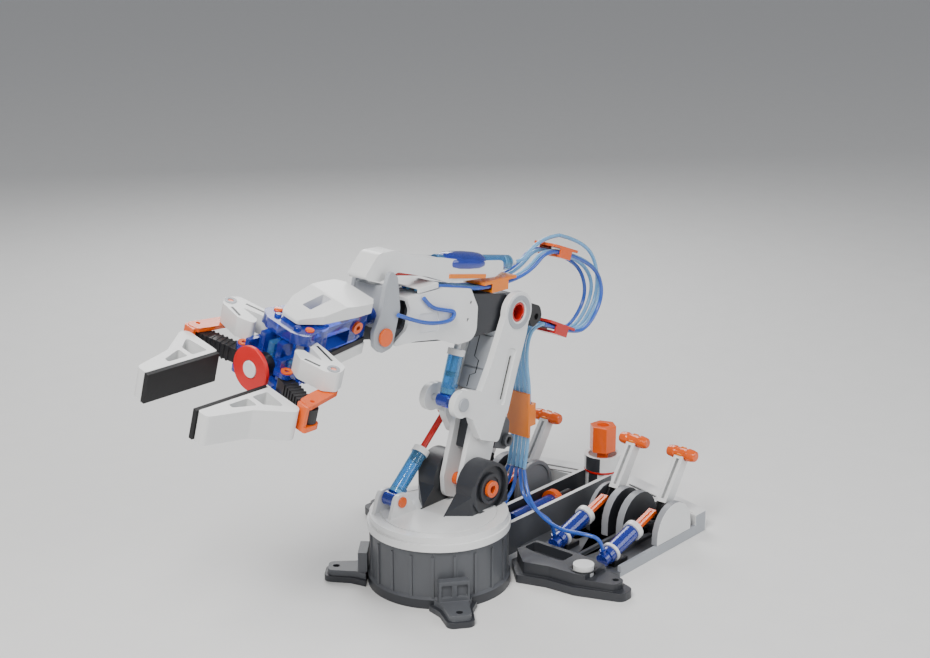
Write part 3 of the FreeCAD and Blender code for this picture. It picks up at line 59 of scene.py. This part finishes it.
# ---------------------------------------------------------------- materials
def plastic(name, colour, rough=0.38, clear=0.0, coat=0.0, spread=0.06, grain=900.0, bump=0.12, ior=1.47,
            scatter=0.0):
    """Moulded plastic: faint colour drift, fine grain in the surface, and patches of wear in the gloss."""
    m = bpy.data.materials.new(name)
    m.use_nodes = True
    nt = m.node_tree
    shader = nt.nodes["Principled BSDF"]
    coord = nt.nodes.new("ShaderNodeTexCoord")
    drift = nt.nodes.new("ShaderNodeTexNoise")
    drift.inputs["Scale"].default_value = 38.0
    drift.inputs["Detail"].default_value = 5.0
    ramp = nt.nodes.new("ShaderNodeValToRGB")
    dark = [c * (1.0 - spread) for c in colour]
    pale = [min(1.0, c * (1.0 + spread)) for c in colour]
    ramp.color_ramp.elements[0].position = 0.3
    ramp.color_ramp.elements[1].position = 0.7
    ramp.color_ramp.elements[0].color = (*dark, 1)
    ramp.color_ramp.elements[1].color = (*pale, 1)
    fine = nt.nodes.new("ShaderNodeTexNoise")
    fine.inputs["Scale"].default_value = grain
    fine.inputs["Detail"].default_value = 3.0
    gloss = nt.nodes.new("ShaderNodeMapRange")
    gloss.inputs["To Min"].default_value = rough * 0.8
    gloss.inputs["To Max"].default_value = min(1.0, rough * 1.25)
    relief = nt.nodes.new("ShaderNodeBump")
    relief.inputs["Strength"].default_value = bump
    relief.inputs["Distance"].default_value = 0.0002
    link = nt.links.new
    link(coord.outputs["Object"], drift.inputs["Vector"])
    link(coord.outputs["Object"], fine.inputs["Vector"])
    link(drift.outputs["Fac"], ramp.inputs["Fac"])
    link(ramp.outputs["Color"], shader.inputs["Base Color"])
    link(drift.outputs["Fac"], gloss.inputs["Value"])
    link(gloss.outputs["Result"], shader.inputs["Roughness"])
    link(fine.outputs["Fac"], relief.inputs["Height"])
    link(relief.outputs["Normal"], shader.inputs["Normal"])
    shader.inputs["Transmission Weight"].default_value = clear
    shader.inputs["IOR"].default_value = ior
    shader.inputs["Coat Weight"].default_value = coat
    shader.inputs["Coat Roughness"].default_value = 0.12
    if scatter:
        shader.inputs["Subsurface Weight"].default_value = scatter
        shader.inputs["Subsurface Radius"].default_value = (0.004, 0.002, 0.001)
        shader.inputs["Subsurface Scale"].default_value = 1.0
    return m


WHITE = plastic("white_shell", (0.76, 0.77, 0.77), 0.33, coat=0.25, spread=0.03)
PALE = plastic("pale_grey_shell", (0.36, 0.38, 0.41), 0.4, spread=0.05)
GREY = plastic("base_grey", (0.085, 0.09, 0.10), 0.42, coat=0.1)
GUARD = plastic("guard_grey", (0.27, 0.28, 0.30), 0.4, coat=0.1)
DARK = plastic("dark_grey", (0.028, 0.030, 0.036), 0.42, coat=0.1)
BLACK = plastic("black", (0.012, 0.012, 0.014), 0.38, coat=0.15, spread=0.2)
SKY = plastic("clear_light_blue", (0.16, 0.52, 0.90), 0.08, clear=0.82, coat=0.5, spread=0.08, bump=0.03)
DEEP = plastic("clear_deep_blue", (0.03, 0.07, 0.55), 0.08, clear=0.62, coat=0.6, spread=0.12, bump=0.03)
ORANGE = plastic("clear_orange", (0.95, 0.13, 0.004), 0.2, clear=0.2, coat=0.4, spread=0.07, bump=0.04)
AMBER = plastic("clear_amber", (0.98, 0.24, 0.006), 0.22, clear=0.2, coat=0.4, spread=0.07, bump=0.04)
RED = plastic("clear_red", (0.62, 0.012, 0.006), 0.2, clear=0.15, coat=0.4, spread=0.08, bump=0.04)
CUP = plastic("cup_rubber", (0.62, 0.012, 0.012), 0.45, coat=0.1, grain=500.0, bump=0.2, scatter=0.1)
PAD = plastic("pad_rubber", (0.010, 0.010, 0.011), 0.62, spread=0.25, grain=420.0, bump=0.5)
HOSE = plastic("hose_light_blue", (0.22, 0.52, 0.85), 0.18, clear=0.3, coat=0.4, spread=0.06, bump=0.02)
HOSE_DEEP = plastic("hose_deep_blue", (0.045, 0.14, 0.62), 0.16, clear=0.3, coat=0.5, spread=0.1, bump=0.02)


# ---------------------------------------------------------------- pieces
def smooth_by_angle(bm, degrees=32.0):
    for face in bm.faces:
        face.smooth = True
    limit = math.radians(degrees)
    for edge in bm.edges:
        if len(edge.link_faces) == 2:
            edge.smooth = edge.calc_face_angle(0.0) < limit


def finish_piece(obj, body, bevel, segments=2):
    """Rounded edges, if bevel is a width in millimetres, then the body."""
    if bevel:
        mod = obj.modifiers.new("edges", "BEVEL")
        mod.width = bevel * MM
        mod.segments = segments
        mod.limit_method = "ANGLE"
        mod.angle_limit = math.radians(34)
        mod.harden_normals = True
        mod.miter_outer = "MITER_ARC"
    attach(obj, body)
    return obj


def components(bm):
    """The faces of each loose part of the mesh, as lists."""
    seen, parts = set(), []
    for start in bm.faces:
        if start.index in seen:
            continue
        seen.add(start.index)
        stack, part = [start], []
        while stack:
            face = stack.pop()
            part.append(face)
            for edge in face.edges:
                for other in edge.link_faces:
                    if other.index not in seen:
                        seen.add(other.index)
                        stack.append(other)
        parts.append(part)
    return parts


def dress(node, pick, mats, bevel=0.45, segments=2):
    """A finished copy of a CAD node: flats merged, edges rounded and a material for each face from pick(c, n, k)."""
    source = frame["nodes"][node]
    mesh = bpy.data.meshes.new(node + "_shell")
    obj = bpy.data.objects.new(node + "_shell", mesh)
    bpy.context.scene.collection.objects.link(obj)
    bm = bmesh.new()
    bm.from_mesh(source.data)
    bmesh.ops.remove_doubles(bm, verts=bm.verts, dist=1e-6)
    bmesh.ops.dissolve_limit(bm, angle_limit=math.radians(0.6), verts=bm.verts, edges=bm.edges)
    bm.faces.ensure_lookup_table()
    bm.faces.index_update()
    smooth_by_angle(bm)
    dropped = []
    for part in components(bm):
        lo = Vector([min(v.co[i] for f in part for v in f.verts) for i in range(3)]) / MM
        hi = Vector([max(v.co[i] for f in part for v in f.verts) for i in range(3)]) / MM
        for face in part:
            mat = pick(face.calc_center_median() / MM, face.normal, (lo, hi)) if pick else 0
            if mat < 0:
                dropped.append(face)
            else:
                face.material_index = mat
    bmesh.ops.delete(bm, geom=dropped, context="FACES")
    bm.to_mesh(mesh)
    bm.free()
    for m in mats:
        mesh.materials.append(m)
    finish_piece(obj, BODY_OF[node], bevel, segments)
    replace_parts(obj, node)
    return obj


class Maker:
    """Collects small shapes, in millimetres, into one piece."""

    def __init__(self, name, body, slot, mats, turn=None):
        self.name, self.body, self.slot, self.mats = name, body, slot, mats
        self.bm = bmesh.new()
        self.turn = turn

    @staticmethod
    def _paint(faces, mat):
        for face in faces:
            face.material_index = mat

    def loft(self, rings, mat=0):
        """Rings of equal point counts joined in order."""
        made = [[self.bm.verts.new(Vector(p) * MM) for p in ring] for ring in rings]
        faces, count = [], len(made[0])
        for low, high in zip(made, made[1:]):
            for i in range(count):
                j = (i + 1) % count
                faces.append(self.bm.faces.new((low[i], low[j], high[j], high[i])))
        faces.append(self.bm.faces.new(list(reversed(made[0]))))
        faces.append(self.bm.faces.new(made[-1]))
        self._paint(faces, mat)

    def round(self, start, way, profile, mat=0, sides=40):
        """A turned shape: profile is (distance along way, radius) pairs."""
        way = Vector(way).normalized()
        side = way.orthogonal().normalized()
        up = way.cross(side)
        rings = []
        for along, radius in profile:
            centre = Vector(start) + way * along
            rings.append([centre + (side * math.cos(a) + up * math.sin(a)) * radius
                          for a in (2 * math.pi * i / sides for i in range(sides))])
        self.loft(rings, mat)

    def ring(self, start, way, inner, outer, height, mat=0, sides=40):
        """A flat ring with a hole."""
        way = Vector(way).normalized()
        side = way.orthogonal().normalized()
        up = way.cross(side)
        loops = []
        for along, radius in ((0, inner), (0, outer), (height, outer), (height, inner)):
            centre = Vector(start) + way * along
            loops.append([self.bm.verts.new((centre + (side * math.cos(a) + up * math.sin(a)) * radius) * MM)
                          for a in (2 * math.pi * i / sides for i in range(sides))])
        faces = []
        for k in range(4):
            low, high = loops[k], loops[(k + 1) % 4]
            for i in range(sides):
                j = (i + 1) % sides
                faces.append(self.bm.faces.new((low[i], low[j], high[j], high[i])))
        self._paint(faces, mat)

    def plate(self, corners, push, mat=0):
        """A flat outline pushed along a vector."""
        push = Vector(push)
        self.loft([[Vector(c) for c in corners], [Vector(c) + push for c in corners]], mat)

    def block(self, low, high, mat=0, turn=None):
        lo, hi = Vector(low), Vector(high)
        corners = [(lo.x, lo.y, lo.z), (hi.x, lo.y, lo.z), (hi.x, hi.y, lo.z), (lo.x, hi.y, lo.z)]
        corners = [Vector(c) for c in corners]
        top = [c + Vector((0, 0, hi.z - lo.z)) for c in corners]
        if turn is not None:
            corners = [turn @ c for c in corners]
            top = [turn @ c for c in top]
        self.loft([corners, top], mat)

    def done(self, bevel=0.3, segments=2):
        bmesh.ops.recalc_face_normals(self.bm, faces=self.bm.faces)
        if self.turn is not None:
            self.bm.transform(self.turn)
        smooth_by_angle(self.bm)
        mesh = bpy.data.meshes.new(self.name)
        self.bm.to_mesh(mesh)
        self.bm.free()
        for m in self.mats:
            mesh.materials.append(m)
        obj = bpy.data.objects.new(self.name, mesh)
        bpy.context.scene.collection.objects.link(obj)
        return finish_piece(obj, self.body, bevel, segments)


def plain(*nodes, mats, bevel=0.45):
    """Nodes in one material."""
    for n in nodes:
        dress(n, None, mats, bevel)


# ---------------------------------------------------------------- base and turntable
dress("drum", lambda c, n, k: 1 if c.z < 7.6 else 0, [GREY, DARK], 0.3)
dress("front_feet", lambda c, n, k: 1 if c.z < 5.2 else 0, [GREY, DARK], 0.6)
plain("turntable", mats=[WHITE], bevel=0.7)
dress("shoulder_brackets", None, [DARK], 0.8, 3)
plain("shoulder_pins", mats=[ORANGE], bevel=0.5)


# ---------------------------------------------------------------- hydraulic cylinders
def near_line(foot, way):
    """A measure of a point: its distance along the line from foot, and its distance off it."""
    foot, way = Vector(foot), Vector(way).normalized()

    def measure(c):
        d = c - foot
        along = d.dot(way)
        return along, (d - way * along).length
    return measure


def dress_barrel(node, foot, head, length, mats):
    measure = near_line(foot, Vector(head) - Vector(foot))

    def pick(c, n, k):
        along, off = measure(c)
        if along < 8.5:
            return 1
        if along > length - 5.2 and (off > 6.2 or along > length - 0.2):
            return 2
        return 0
    dress(node, pick, mats, 0.35)


LIFT = ((-25.5, -27, 70), (-25.5, 39, 128))
BEND = ((0, 8.6, 148.7), (0, 28, 204))
dress_barrel("shoulder_barrel", *LIFT, 48, [SKY, DEEP, WHITE])
dress_barrel("elbow_barrel", *BEND, 41, [SKY, DEEP, WHITE])
lift_at = near_line(LIFT[0], Vector(LIFT[1]) - Vector(LIFT[0]))
bend_at = near_line(BEND[0], Vector(BEND[1]) - Vector(BEND[0]))
dress("shoulder_rod", lambda c, n, k: 1 if lift_at(c)[0] < 43 else 0, [RED, BLACK], 0.3)
dress("elbow_rod", lambda c, n, k: 1 if bend_at(c)[0] < 24 else 0, [WHITE, BLACK], 0.3)

# ---------------------------------------------------------------- upper arm
for side in ("right", "left"):
    plain("arm_plate_" + side, mats=[WHITE], bevel=0.8)


def cover_pick(c, n, k):
    lo, hi = k
    if hi.z < 175 and lo.y > 50:
        return 1
    if hi.z < 140:
        return 2
    return 0


dress("arm_covers", cover_pick, [PALE, GREY, DARK], 0.6)


def clip_pick(c, n, k):
    hi = k[1]
    if hi.z < 140:
        return 1
    return 2 if hi.y < 135 else 0


def sleeve_pick(c, n, k):
    off = math.hypot(c.y - ELBOW[0], c.z - ELBOW[1])
    if k[1].z < 190:
        return 2
    return 1 if off < 6.3 else 0


dress("elbow_pins", sleeve_pick, [DARK, RED, PALE], 0.4)

# ---------------------------------------------------------------- forearm
plain("forearm_frame", mats=[DARK], bevel=0.5)
plain("forearm_shells", mats=[WHITE], bevel=0.7)
plain("forearm_cover", mats=[WHITE], bevel=0.5)
dress("forearm_hose_combs", lambda c, n, k: 0 if k[1].y < 100 else 1, [AMBER, ORANGE], 0.5)


# ---------------------------------------------------------------- wrist
dress("wrist_yoke", None, [PALE], 0.7)
dress("wrist_lever", None, [WHITE], 2.2, 3)
dress("wrist_barrel", lambda c, n, k: 1 if c.y > 84 else 0, [SKY, WHITE], 0.4)
plain("wrist_rod", mats=[RED], bevel=0.4)
dress("wrist_pins", lambda c, n, k: 0 if abs(c.x) > 17.2 else 1, [ORANGE, DARK], 0.6)

# ---------------------------------------------------------------- hand
ROLL = Matrix.Translation(Vector((0, 0, WRIST_Z * MM))) @ Matrix.Rotation(math.radians(16.5), 4, "Y")

dress("hand_frame", None, [DEEP], 0.6)
plain("hand_cover", mats=[WHITE], bevel=0.9)
dress("hand_rails", lambda c, n, k: 0, [WHITE], 0.5)
plain("grip_barrel", mats=[SKY], bevel=0.4)
plain("grip_rod", mats=[ORANGE], bevel=0.3)


def cup_pick(c, n, k):
    lo, hi = k
    if hi.y > -186.5:
        return 2
    return 1 if hi.x - lo.x < 16 else 0


dress("suction_cup", cup_pick, [CUP, WHITE, BLACK], 0.7)
for side in ("right", "left"):
    plain("finger_link_" + side, mats=[WHITE], bevel=0.7)
    plain("finger_bar_" + side, mats=[BLACK], bevel=0.4)
    dress("finger_" + side, lambda c, n, k: 0 if k[1].y - k[0].y > 45 else 1, [WHITE, ORANGE], 0.6)
    plain("finger_pad_" + side, mats=[PAD], bevel=0.5)

# ---------------------------------------------------------------- console
def deck_pick(c, n, k):
    if c.z > 8 and c.y > 200:
        return 1
    return 2 if abs(c.x) > 104 and c.z > 5 else 0


dress("console_decks", deck_pick, [GREY, WHITE, PALE], 0.7)


def guard_pick(c, n, k):
    lo, hi = k
    middle = abs((lo.x + hi.x) / 2)
    outward = n.x * (1 if c.x > 0 else -1)
    if middle > 100 and outward > 0.9:
        return 1
    if abs(n.x) > 0.9 and not (middle < 42 and outward < 0):
        return 2
    return 0


dress("lever_guards", guard_pick, [GUARD, WHITE, DARK], 0.8)
for side in ("right", "left"):
    dress("beam_" + side, lambda c, n, k: 1 if k[1].x - k[0].x < 20 else 0, [DARK, WHITE], 0.6)


def spine_pick(c, n, k):
    lo, hi = k
    if hi.z > 35 and lo.z > 25:
        return 2 if math.hypot(c.x, c.y - 221) < 12.7 or (n.z > 0.9 and c.z < 34) else 0
    if c.y > 207:
        return 0
    if abs(c.x) < 11.3 and c.z > 9.5:
        return 1
    # faces turned sideways across x get the dark base grey as painted shade: the shadow on the channel's outer
    # walls, not a colour of the part
    return 3 if abs(n.x) > 0.9 else 0


dress("console_spine", spine_pick, [WHITE, DARK, BLACK, GREY], 0.5)
plain("selector_knob", mats=[ORANGE], bevel=0.8)
dress("swing_barrel", lambda c, n, k: 1 if k[1].y - k[0].y < 12 else 0, [DEEP, ORANGE], 0.4)
plain("swing_rod", mats=[BLACK], bevel=0.3)


def pump_pick(c, n, k):
    if k[1].y < 112:
        return 0
    return 1 if c.y > 128.5 else 0


dress("pump_barrels", pump_pick, [DEEP, WHITE], 0.4)
plain("lever_pins", mats=[BLACK], bevel=0.3)


def stem_pick(c, n, k):
    if k[0].z > 60:
        return -1
    return 0 if c.z > 36 and c.y > 172 else 1


for i in "1234":
    dress("lever_" + i, stem_pick, [WHITE, BLACK, ORANGE], 0.6)
    x = LEVER_X[i]
    grip = Maker("cross_grip_" + i, "lever_" + i, "orange_clear", [ORANGE, AMBER])
    grip.round((x - 14, 201.5, 72), (1, 0, 0),
        ((0, 3.4), (0.8, 4.4), (3.5, 5.1), (7.5, 5.5), (8.3, 5.0), (9.2, 4.8),
                                                (18.8, 4.8), (19.7, 5.0), (20.5, 5.5), (24.5, 5.1),
                                                    (27.2, 4.4),
                                                (28, 3.4)), 0, 48)
    for turn in (0, 1, 2):
        a = math.radians(60 + 120 * turn)
        at = Vector((x - 2.6, 201.5 + 4.6 * math.cos(a), 72 + 4.6 * math.sin(a)))
        grip.round(at, (1, 0, 0), ((0, 0.8), (0.6, 1.2), (4.6, 1.2), (5.2, 0.8)), 1, 12)
    grip.done(0.15)
    rod = Maker("pump_rod_" + i, "plunger_" + i, "orange_clear", [ORANGE, BLACK])
    tilt = Matrix.Rotation(math.atan2(PUMP_SIN, PUMP_COS), 4, "X")
    place = Matrix.Translation((x, 95, 14)) @ tilt
    rod.block((-3.6, 27, -1.7), (3.6, 68, 1.7), 0, place)
    rod.block((-0.8, 30, 1.6), (0.8, 66, 2.6), 0, place)
    rod.round(place @ Vector((0, 24, 0)), (0, PUMP_COS, PUMP_SIN),
        ((0, 4.0), (0.6, 4.5), (4.4, 4.5), (5, 4.0)), 1, 32)
    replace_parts(rod.done(0.25), "plunger_" + i)


# ---------------------------------------------------------------- small visible details
ARM_UP, ARM_FRONT = Vector((0, 0.3427, 0.9395)), Vector((0, -0.9395, 0.3427))


def on_arm(x, a, b):
    """A point of the upper arm: x across, a up from the shoulder, b forward of the arm's middle line."""
    return Vector((x, *SHOULDER)) + ARM_UP * a + ARM_FRONT * b


def on_hand(s, d, h):
    """A point of the hand before its roll: s forward of the wrist, d to the right, h up."""
    return Vector((d, WRIST_Y - s, h))


arm = Maker("arm_slits", "upper_arm", "dark_grey_plastic", [BLACK, PALE])
for side in (1, -1):
    x = side * 15.02
    arm.plate([on_arm(x, 70.2, -5.4), on_arm(x, 105.8, -5.4), on_arm(x, 105.8, -2.6), on_arm(x, 70.2, -2.6)],
              (side * 0.5, 0, 0))
    arm.ring((side * 17.9, *ELBOW), (side, 0, 0), 9.6, 13.6, 0.9, 1)
zig = ((-3.5, 74.5), (-3.5, 84), (1.5, 86.5), (1.5, 97), (-3.5, 99.5), (-3.5, 116.5))
for (x0, a0), (x1, a1) in zip(zig, zig[1:]):
    b0, b1 = 17.0 - (a0 - 73) * 2 / 45, 17.0 - (a1 - 73) * 2 / 45
    arm.plate([on_arm(x0 - 0.4, a0, b0), on_arm(x0 + 0.4, a0, b0), on_arm(x1 + 0.4, a1, b1),
        on_arm(x1 - 0.4, a1, b1)],
              ARM_FRONT * 0.12)
arm.done(0.0)

tail = Maker("lever_tail_bubble", "forearm", "deep_blue_clear", [DEEP, AMBER, BLACK, RED])
TAIL_WAY, TAIL_UP = Vector((0, 0.9806, -0.1961)), Vector((0, 0.1961, 0.9806))
rings = []
for t, wide, high in ((-2, 1, 1), (-1, 4, 4), (1.5, 7.6, 6.6), (6, 9.7, 7.8), (14, 10.2, 8.4),
    (26, 10.2, 8.6), (37, 10.0, 8.2),
                      (44, 9.2, 7.6), (48, 7.4, 6.4), (50.5, 4, 4), (51.5, 1, 1)):
    centre = Vector((0, 2, 261.5)) + TAIL_WAY * t
    rings.append([centre + Vector((wide * math.cos(a), 0, 0)) + TAIL_UP * (high * math.sin(a))
                  for a in (2 * math.pi * i / 36 for i in range(36))])
tail.loft(rings, 0)
for side in (1, -1):
    low = Vector((side * 8.9, 3, 253.2))
    tail.plate([low, low + TAIL_WAY * 44, low + TAIL_WAY * 44 - TAIL_UP * 3.4, low - TAIL_UP * 3.4],
               (side * 0.9, 0, 0), 1)
tail.round((0, -58, 266.2), (0, 0.9806, -0.1961), ((0, 2.9), (0.5, 3.4), (47, 3.4), (47.6, 2.9)), 3, 28)
tail.done(0.2)

for side, sign in (("right", 1), ("left", -1)):
    bar = Maker("bar_ribs_" + side, "bar_" + side, "black_plastic", [BLACK], turn=ROLL)
    across, forward = Vector((0.2755, 0.9613)), Vector((0.9613, -0.2755))
    for step in range(7):
        t = 8 + step * 3.7
        corners = []
        for dt, dm in ((0, -5.7), (1.5, -5.7), (1.5, 5.7), (0, 5.7)):
            q = Vector((100.0, 22.0)) + across * (t + dt) + forward * dm
            corners.append(on_hand(q.x, sign * q.y, -25.0))
        bar.plate(corners, (0, 0, 12.0))
    bar.done(0.2)
    slit = Maker("link_slits_" + side, "link_" + side, "black_plastic", [BLACK, PALE], turn=ROLL)
    for a, b in (((76.5, 24), (81.5, 44)), ((97, 33), (94, 45))):
        way = (Vector(b) - Vector(a)).normalized()
        off = Vector((-way.y, way.x)) * 0.9
        flat = [Vector(a) - off, Vector(b) - off, Vector(b) + off, Vector(a) + off]
        slit.plate([on_hand(q.x, sign * q.y, 6.3) for q in flat], (0, 0, 0.45))
    slit.ring(on_hand(88.47, sign * 52.53, 6.5), (0, 0, 1), 2.2, 4.4, 0.7, 1)
    slit.done(0.12)

hand = Maker("hand_fittings", "hand", "orange_clear", [ORANGE, BLACK, SKY, WHITE, DEEP], turn=ROLL)
for sign in (1, -1):
    hand.ring(on_hand(27, sign * 13.6, 4), (sign, 0, 0), 1.8, 4.6, 2.6, 0)
    hand.ring(on_hand(60, sign * 15.6, -7), (sign, 0, 0), 1.4, 3.2, 1.8, 1)
    hand.round(on_hand(78, sign * 16, 14.8), (0, 0, 1), ((0, 3.2), (1.2, 3.2), (1.6, 2.4)), 0)
    hand.ring(on_hand(100, sign * 22, -9.2), (0, 0, 1), 1.6, 4.2, 1.4, 0)
    hand.plate([on_hand(14, sign * 12.9, -12.4), on_hand(62, sign * 19.0, -12.4),
        on_hand(62, sign * 16.2, -12.4),
                on_hand(14, sign * 10.2, -12.4)], (0, 0, 4.2), 1)
    hand.plate([on_hand(66, sign * 18, 3), on_hand(84, sign * 24, 3), on_hand(84, sign * 19, 3),
        on_hand(66, sign * 12, 3)],
               (0, 0, 3.6), 4)
for s0, d0, s1, d1, low, high, mat in (
        (86, 6, 97, 11, -9, 6, 4), (86, -11, 97, -6, -9, 6, 4), (90, 14, 103, 18, -9, -2, 4),
            (90, -18, 103, -14, -9, -2, 4),
        (68, -10, 74, 10, 15, 17.5, 4), (80, -3, 96, 3, -9, 2, 2), (66, 16, 72, 19, -9, 2, 4),
            (66, -19, 72, -16, -9, 2, 4),
        (92, 8, 95, 24, -25.2, -12.8, 4), (92, -24, 95, -8, -25.2, -12.8, 4),
            (76, 12, 79, 21, -25.2, -12.8, 4),
        (76, -21, 79, -12, -25.2, -12.8, 4)):
    hand.plate([on_hand(s0, d0, low), on_hand(s1, d0, low), on_hand(s1, d1, low), on_hand(s0, d1, low)],
               (0, 0, high - low), mat)
for sign in (1, -1):
    hand.round(on_hand(84, sign * 10, 7), (0, 0, 1), ((0, 2.6), (9.4, 2.6), (9.9, 2.0)), 4)
    hand.round(on_hand(94, sign * 19, -9), (0, 0, 1), ((0, 2.2), (5, 2.2), (5.4, 1.6)), 2)
hand.round(on_hand(20, 0, 0), (0, 1, 0), ((0, 6.2), (0.5, 8.2), (8, 8.2), (8.5, 6.2)), 2)
hand.done(0.2)

console = Maker("console_slits", "base", "black_plastic", [BLACK, WHITE, RED])
for sign in (1, -1):
    for x0, x1, lift in ((26, 60, 0), (66, 100, 0), (26, 60, 9), (66, 100, 9)):
        y0, y1 = 232 - lift - x0 * 0.255, 232 - lift - x1 * 0.255
        console.plate([(sign * x0, y0, 17.75), (sign * x1, y1, 17.75), (sign * x1, y1 + 2, 17.75),
            (sign * x0, y0 + 2, 17.75)],
                      (0, 0, 0.5))
    for x in (47, 96):
        console.ring((sign * x, 100.2, 15.6), (0, PUMP_COS, PUMP_SIN), 6.7, 8.3, 2.6, 1)
    console.ring((sign * 99, 60, 16.6), (0, 0, 1), 9.3, 10.8, 1.0, 0)
console.ring((0, 221, 28.4), (0, 0, 1), 14.6, 16.2, 1.7, 2)
console.done(0.2)

# ---------------------------------------------------------------- hoses
def hose(points, radius=1.6):
    """Mesh tube along a smooth line with these points, in millimetres, as its control points."""
    curve = bpy.data.curves.new("route", "CURVE")
    curve.dimensions = "3D"
    spline = curve.splines.new("NURBS")
    spline.points.add(len(points) - 1)
    for p, at in zip(spline.points, points):
        p.co = (at[0] * MM, at[1] * MM, at[2] * MM, 1)
    spline.order_u = 3
    spline.use_endpoint_u = True
    curve.resolution_u = 10
    curve.bevel_depth = radius * MM
    curve.bevel_resolution = 5
    curve.use_fill_caps = True
    holder = bpy.data.objects.new("route", curve)
    bpy.context.scene.collection.objects.link(holder)
    dg = bpy.context.evaluated_depsgraph_get()
    mesh = bpy.data.meshes.new_from_object(holder.evaluated_get(dg))
    bpy.data.objects.remove(holder)
    return mesh


def hoses(name, routes, body, mats, nodes, colours=None, blend=None):
    bm = bmesh.new()
    for i, route in enumerate(routes):
        first = len(bm.faces)
        mesh = hose(route)
        bm.from_mesh(mesh)
        bpy.data.meshes.remove(mesh)
        bm.faces.ensure_lookup_table()
        for f in bm.faces[first:]:
            f.material_index = colours[i] if colours else 0
            f.smooth = True
    mesh = bpy.data.meshes.new(name)
    bm.to_mesh(mesh)
    bm.free()
    for m in mats:
        mesh.materials.append(m)
    obj = bpy.data.objects.new(name, mesh)
    bpy.context.scene.collection.objects.link(obj)
    if blend:
        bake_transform(obj)
    else:
        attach(obj, body)
    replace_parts(obj, *nodes)
    return obj


PITCH = 4.1
ACROSS = [i * PITCH for i in (-2, -1, 1, 2)]
loop = [[(x, -30, 247.3), (x, -8, 246.8), (x, 14, 240), (x, 42, 233.2), (x, 82, 231.9), (x, 106, 236),
         (x, 127, 249.3), (x, 167 + s, 233.5), (x, 194 + s, 217), (x, 203 + s, 192 + s),
         (x, 186 + s, 172), (x, 164, 167.6), (x, 122.9, 186.4)] for x, s in zip(ACROSS, (0, 4, 6, 2))]
loop.append([(0, 152, 254.6), (0, 178, 246), (0, 203, 227), (0, 209, 196), (0, 190, 171), (0, 164, 167.6),
             (0, 122.9, 186.4)])
hoses("hose_loop_tubes", loop, "forearm", [HOSE, HOSE_DEEP], ["hose_loop"],
    colours=(1, 0, 0, 1, 0),
      blend=("upper_arm", "forearm", (0, 0, 0.190), (0, 0, 0.230)))
hoses("hose_wrist_tube", [[(0, 93.3, 243.3), (0, 104, 242.5), (0, 116, 251), (0, 134, 256), (0, 151, 254.7)]],
      "forearm", [HOSE], ["hose_wrist"])
hoses("hose_gripper_tube", [[(19.4, -66, 238), (19.4, -50, 230.5), (18, -30, 223.2), (16, -10, 219.3),
                             (15.6, 0, 219.8), (15.4, 2, 225.4), (15.2, -8, 228.2), (15.2, -26, 234),
                             (15.2, -33, 243)]], "forearm", [HOSE_DEEP], ["hose_gripper"])
down = [[(x, 122, 186.8), (x, 109, 188), (x, 100.5, 176), (x, 100, 156), (x, 104.3, 135), (x, 104, 91),
         (x, 98.4, 67)] for x in sorted(ACROSS + [0])]
hoses("hose_arm_tubes", down, "upper_arm", [HOSE], ["hose_arm"],
      blend=("turntable", "upper_arm", (0, 0, 0.070), (0, 0, 0.150)))
fan = [[(0, 98, 66), (0, 97, 50), (0, 84, 40), (0, 78, 27), (0, 83, 20), (0, 92, 20)]]
for s in (1, -1):
    fan.append([(s * PITCH, 98, 66), (s * 6, 96, 50), (s * 18, 92, 40), (s * 34, 87, 37), (s * 47, 87, 33),
                (s * 47, 89.6, 22.2)])
    fan.append([(s * 2 * PITCH, 98, 66), (s * 14, 94, 49), (s * 34, 84, 38), (s * 62, 78, 33),
        (s * 84, 81, 35),
                (s * 96, 87, 32), (s * 96, 89.6, 22.2)])
hoses("hose_console_tubes", fan, "base", [HOSE_DEEP], ["hose_console"],
      blend=("base", "turntable", (0, 0, 0.042), (0, 0, 0.066)))
dress("arm_hose_combs", clip_pick, [RED, AMBER, BLACK], 0.5)

# ---------------------------------------------------------------- floor, light and camera
floor_mesh = bpy.data.meshes.new("floor")
floor_mesh.from_pydata([(-6, -6, 0), (6, -6, 0), (6, 6, 0), (-6, 6, 0)], [], [(0, 1, 2, 3)])
floor = bpy.data.objects.new("floor", floor_mesh)
bpy.context.scene.collection.objects.link(floor)
floor_mesh.materials.append(plastic("floor_paper", (0.80, 0.80, 0.79), 0.7, spread=0.01, grain=300.0,
    bump=0.02))

world = bpy.data.worlds.new("studio")
world.use_nodes = True
world.node_tree.nodes["Background"].inputs["Color"].default_value = (0.93, 0.95, 1.0, 1)
world.node_tree.nodes["Background"].inputs["Strength"].default_value = 0.32
bpy.context.scene.world = world


def area(name, at, aim, size, power, colour=(1, 1, 1)):
    light = bpy.data.lights.new(name, "AREA")
    light.energy, light.size, light.color = power, size, colour
    obj = bpy.data.objects.new(name, light)
    obj.location = at
    obj.rotation_euler = (Vector(aim) - Vector(at)).to_track_quat("-Z", "Y").to_euler()
    bpy.context.scene.collection.objects.link(obj)


area("key", (0.35, -0.9, 1.25), (0, 0.02, 0.12), 0.6, 26, (1, 0.98, 0.95))
area("fill", (1.2, 0.5, 0.7), (0, 0.05, 0.12), 0.9, 8, (0.95, 0.97, 1))
area("rim", (-0.8, 0.7, 0.9), (0, 0, 0.15), 0.7, 9)

cam_data = bpy.data.cameras.new("camera")
cam_data.lens, cam_data.sensor_width = 66.4, 36
cam_data.clip_start = 0.02
cam = bpy.data.objects.new("camera", cam_data)
cam.location = (0.8325, -0.9482, 0.5867)
cam.rotation_euler = Vector((0.620, -0.730, 0.287)).to_track_quat("Z", "Y").to_euler()
bpy.context.scene.collection.objects.link(cam)
bpy.context.scene.camera = cam
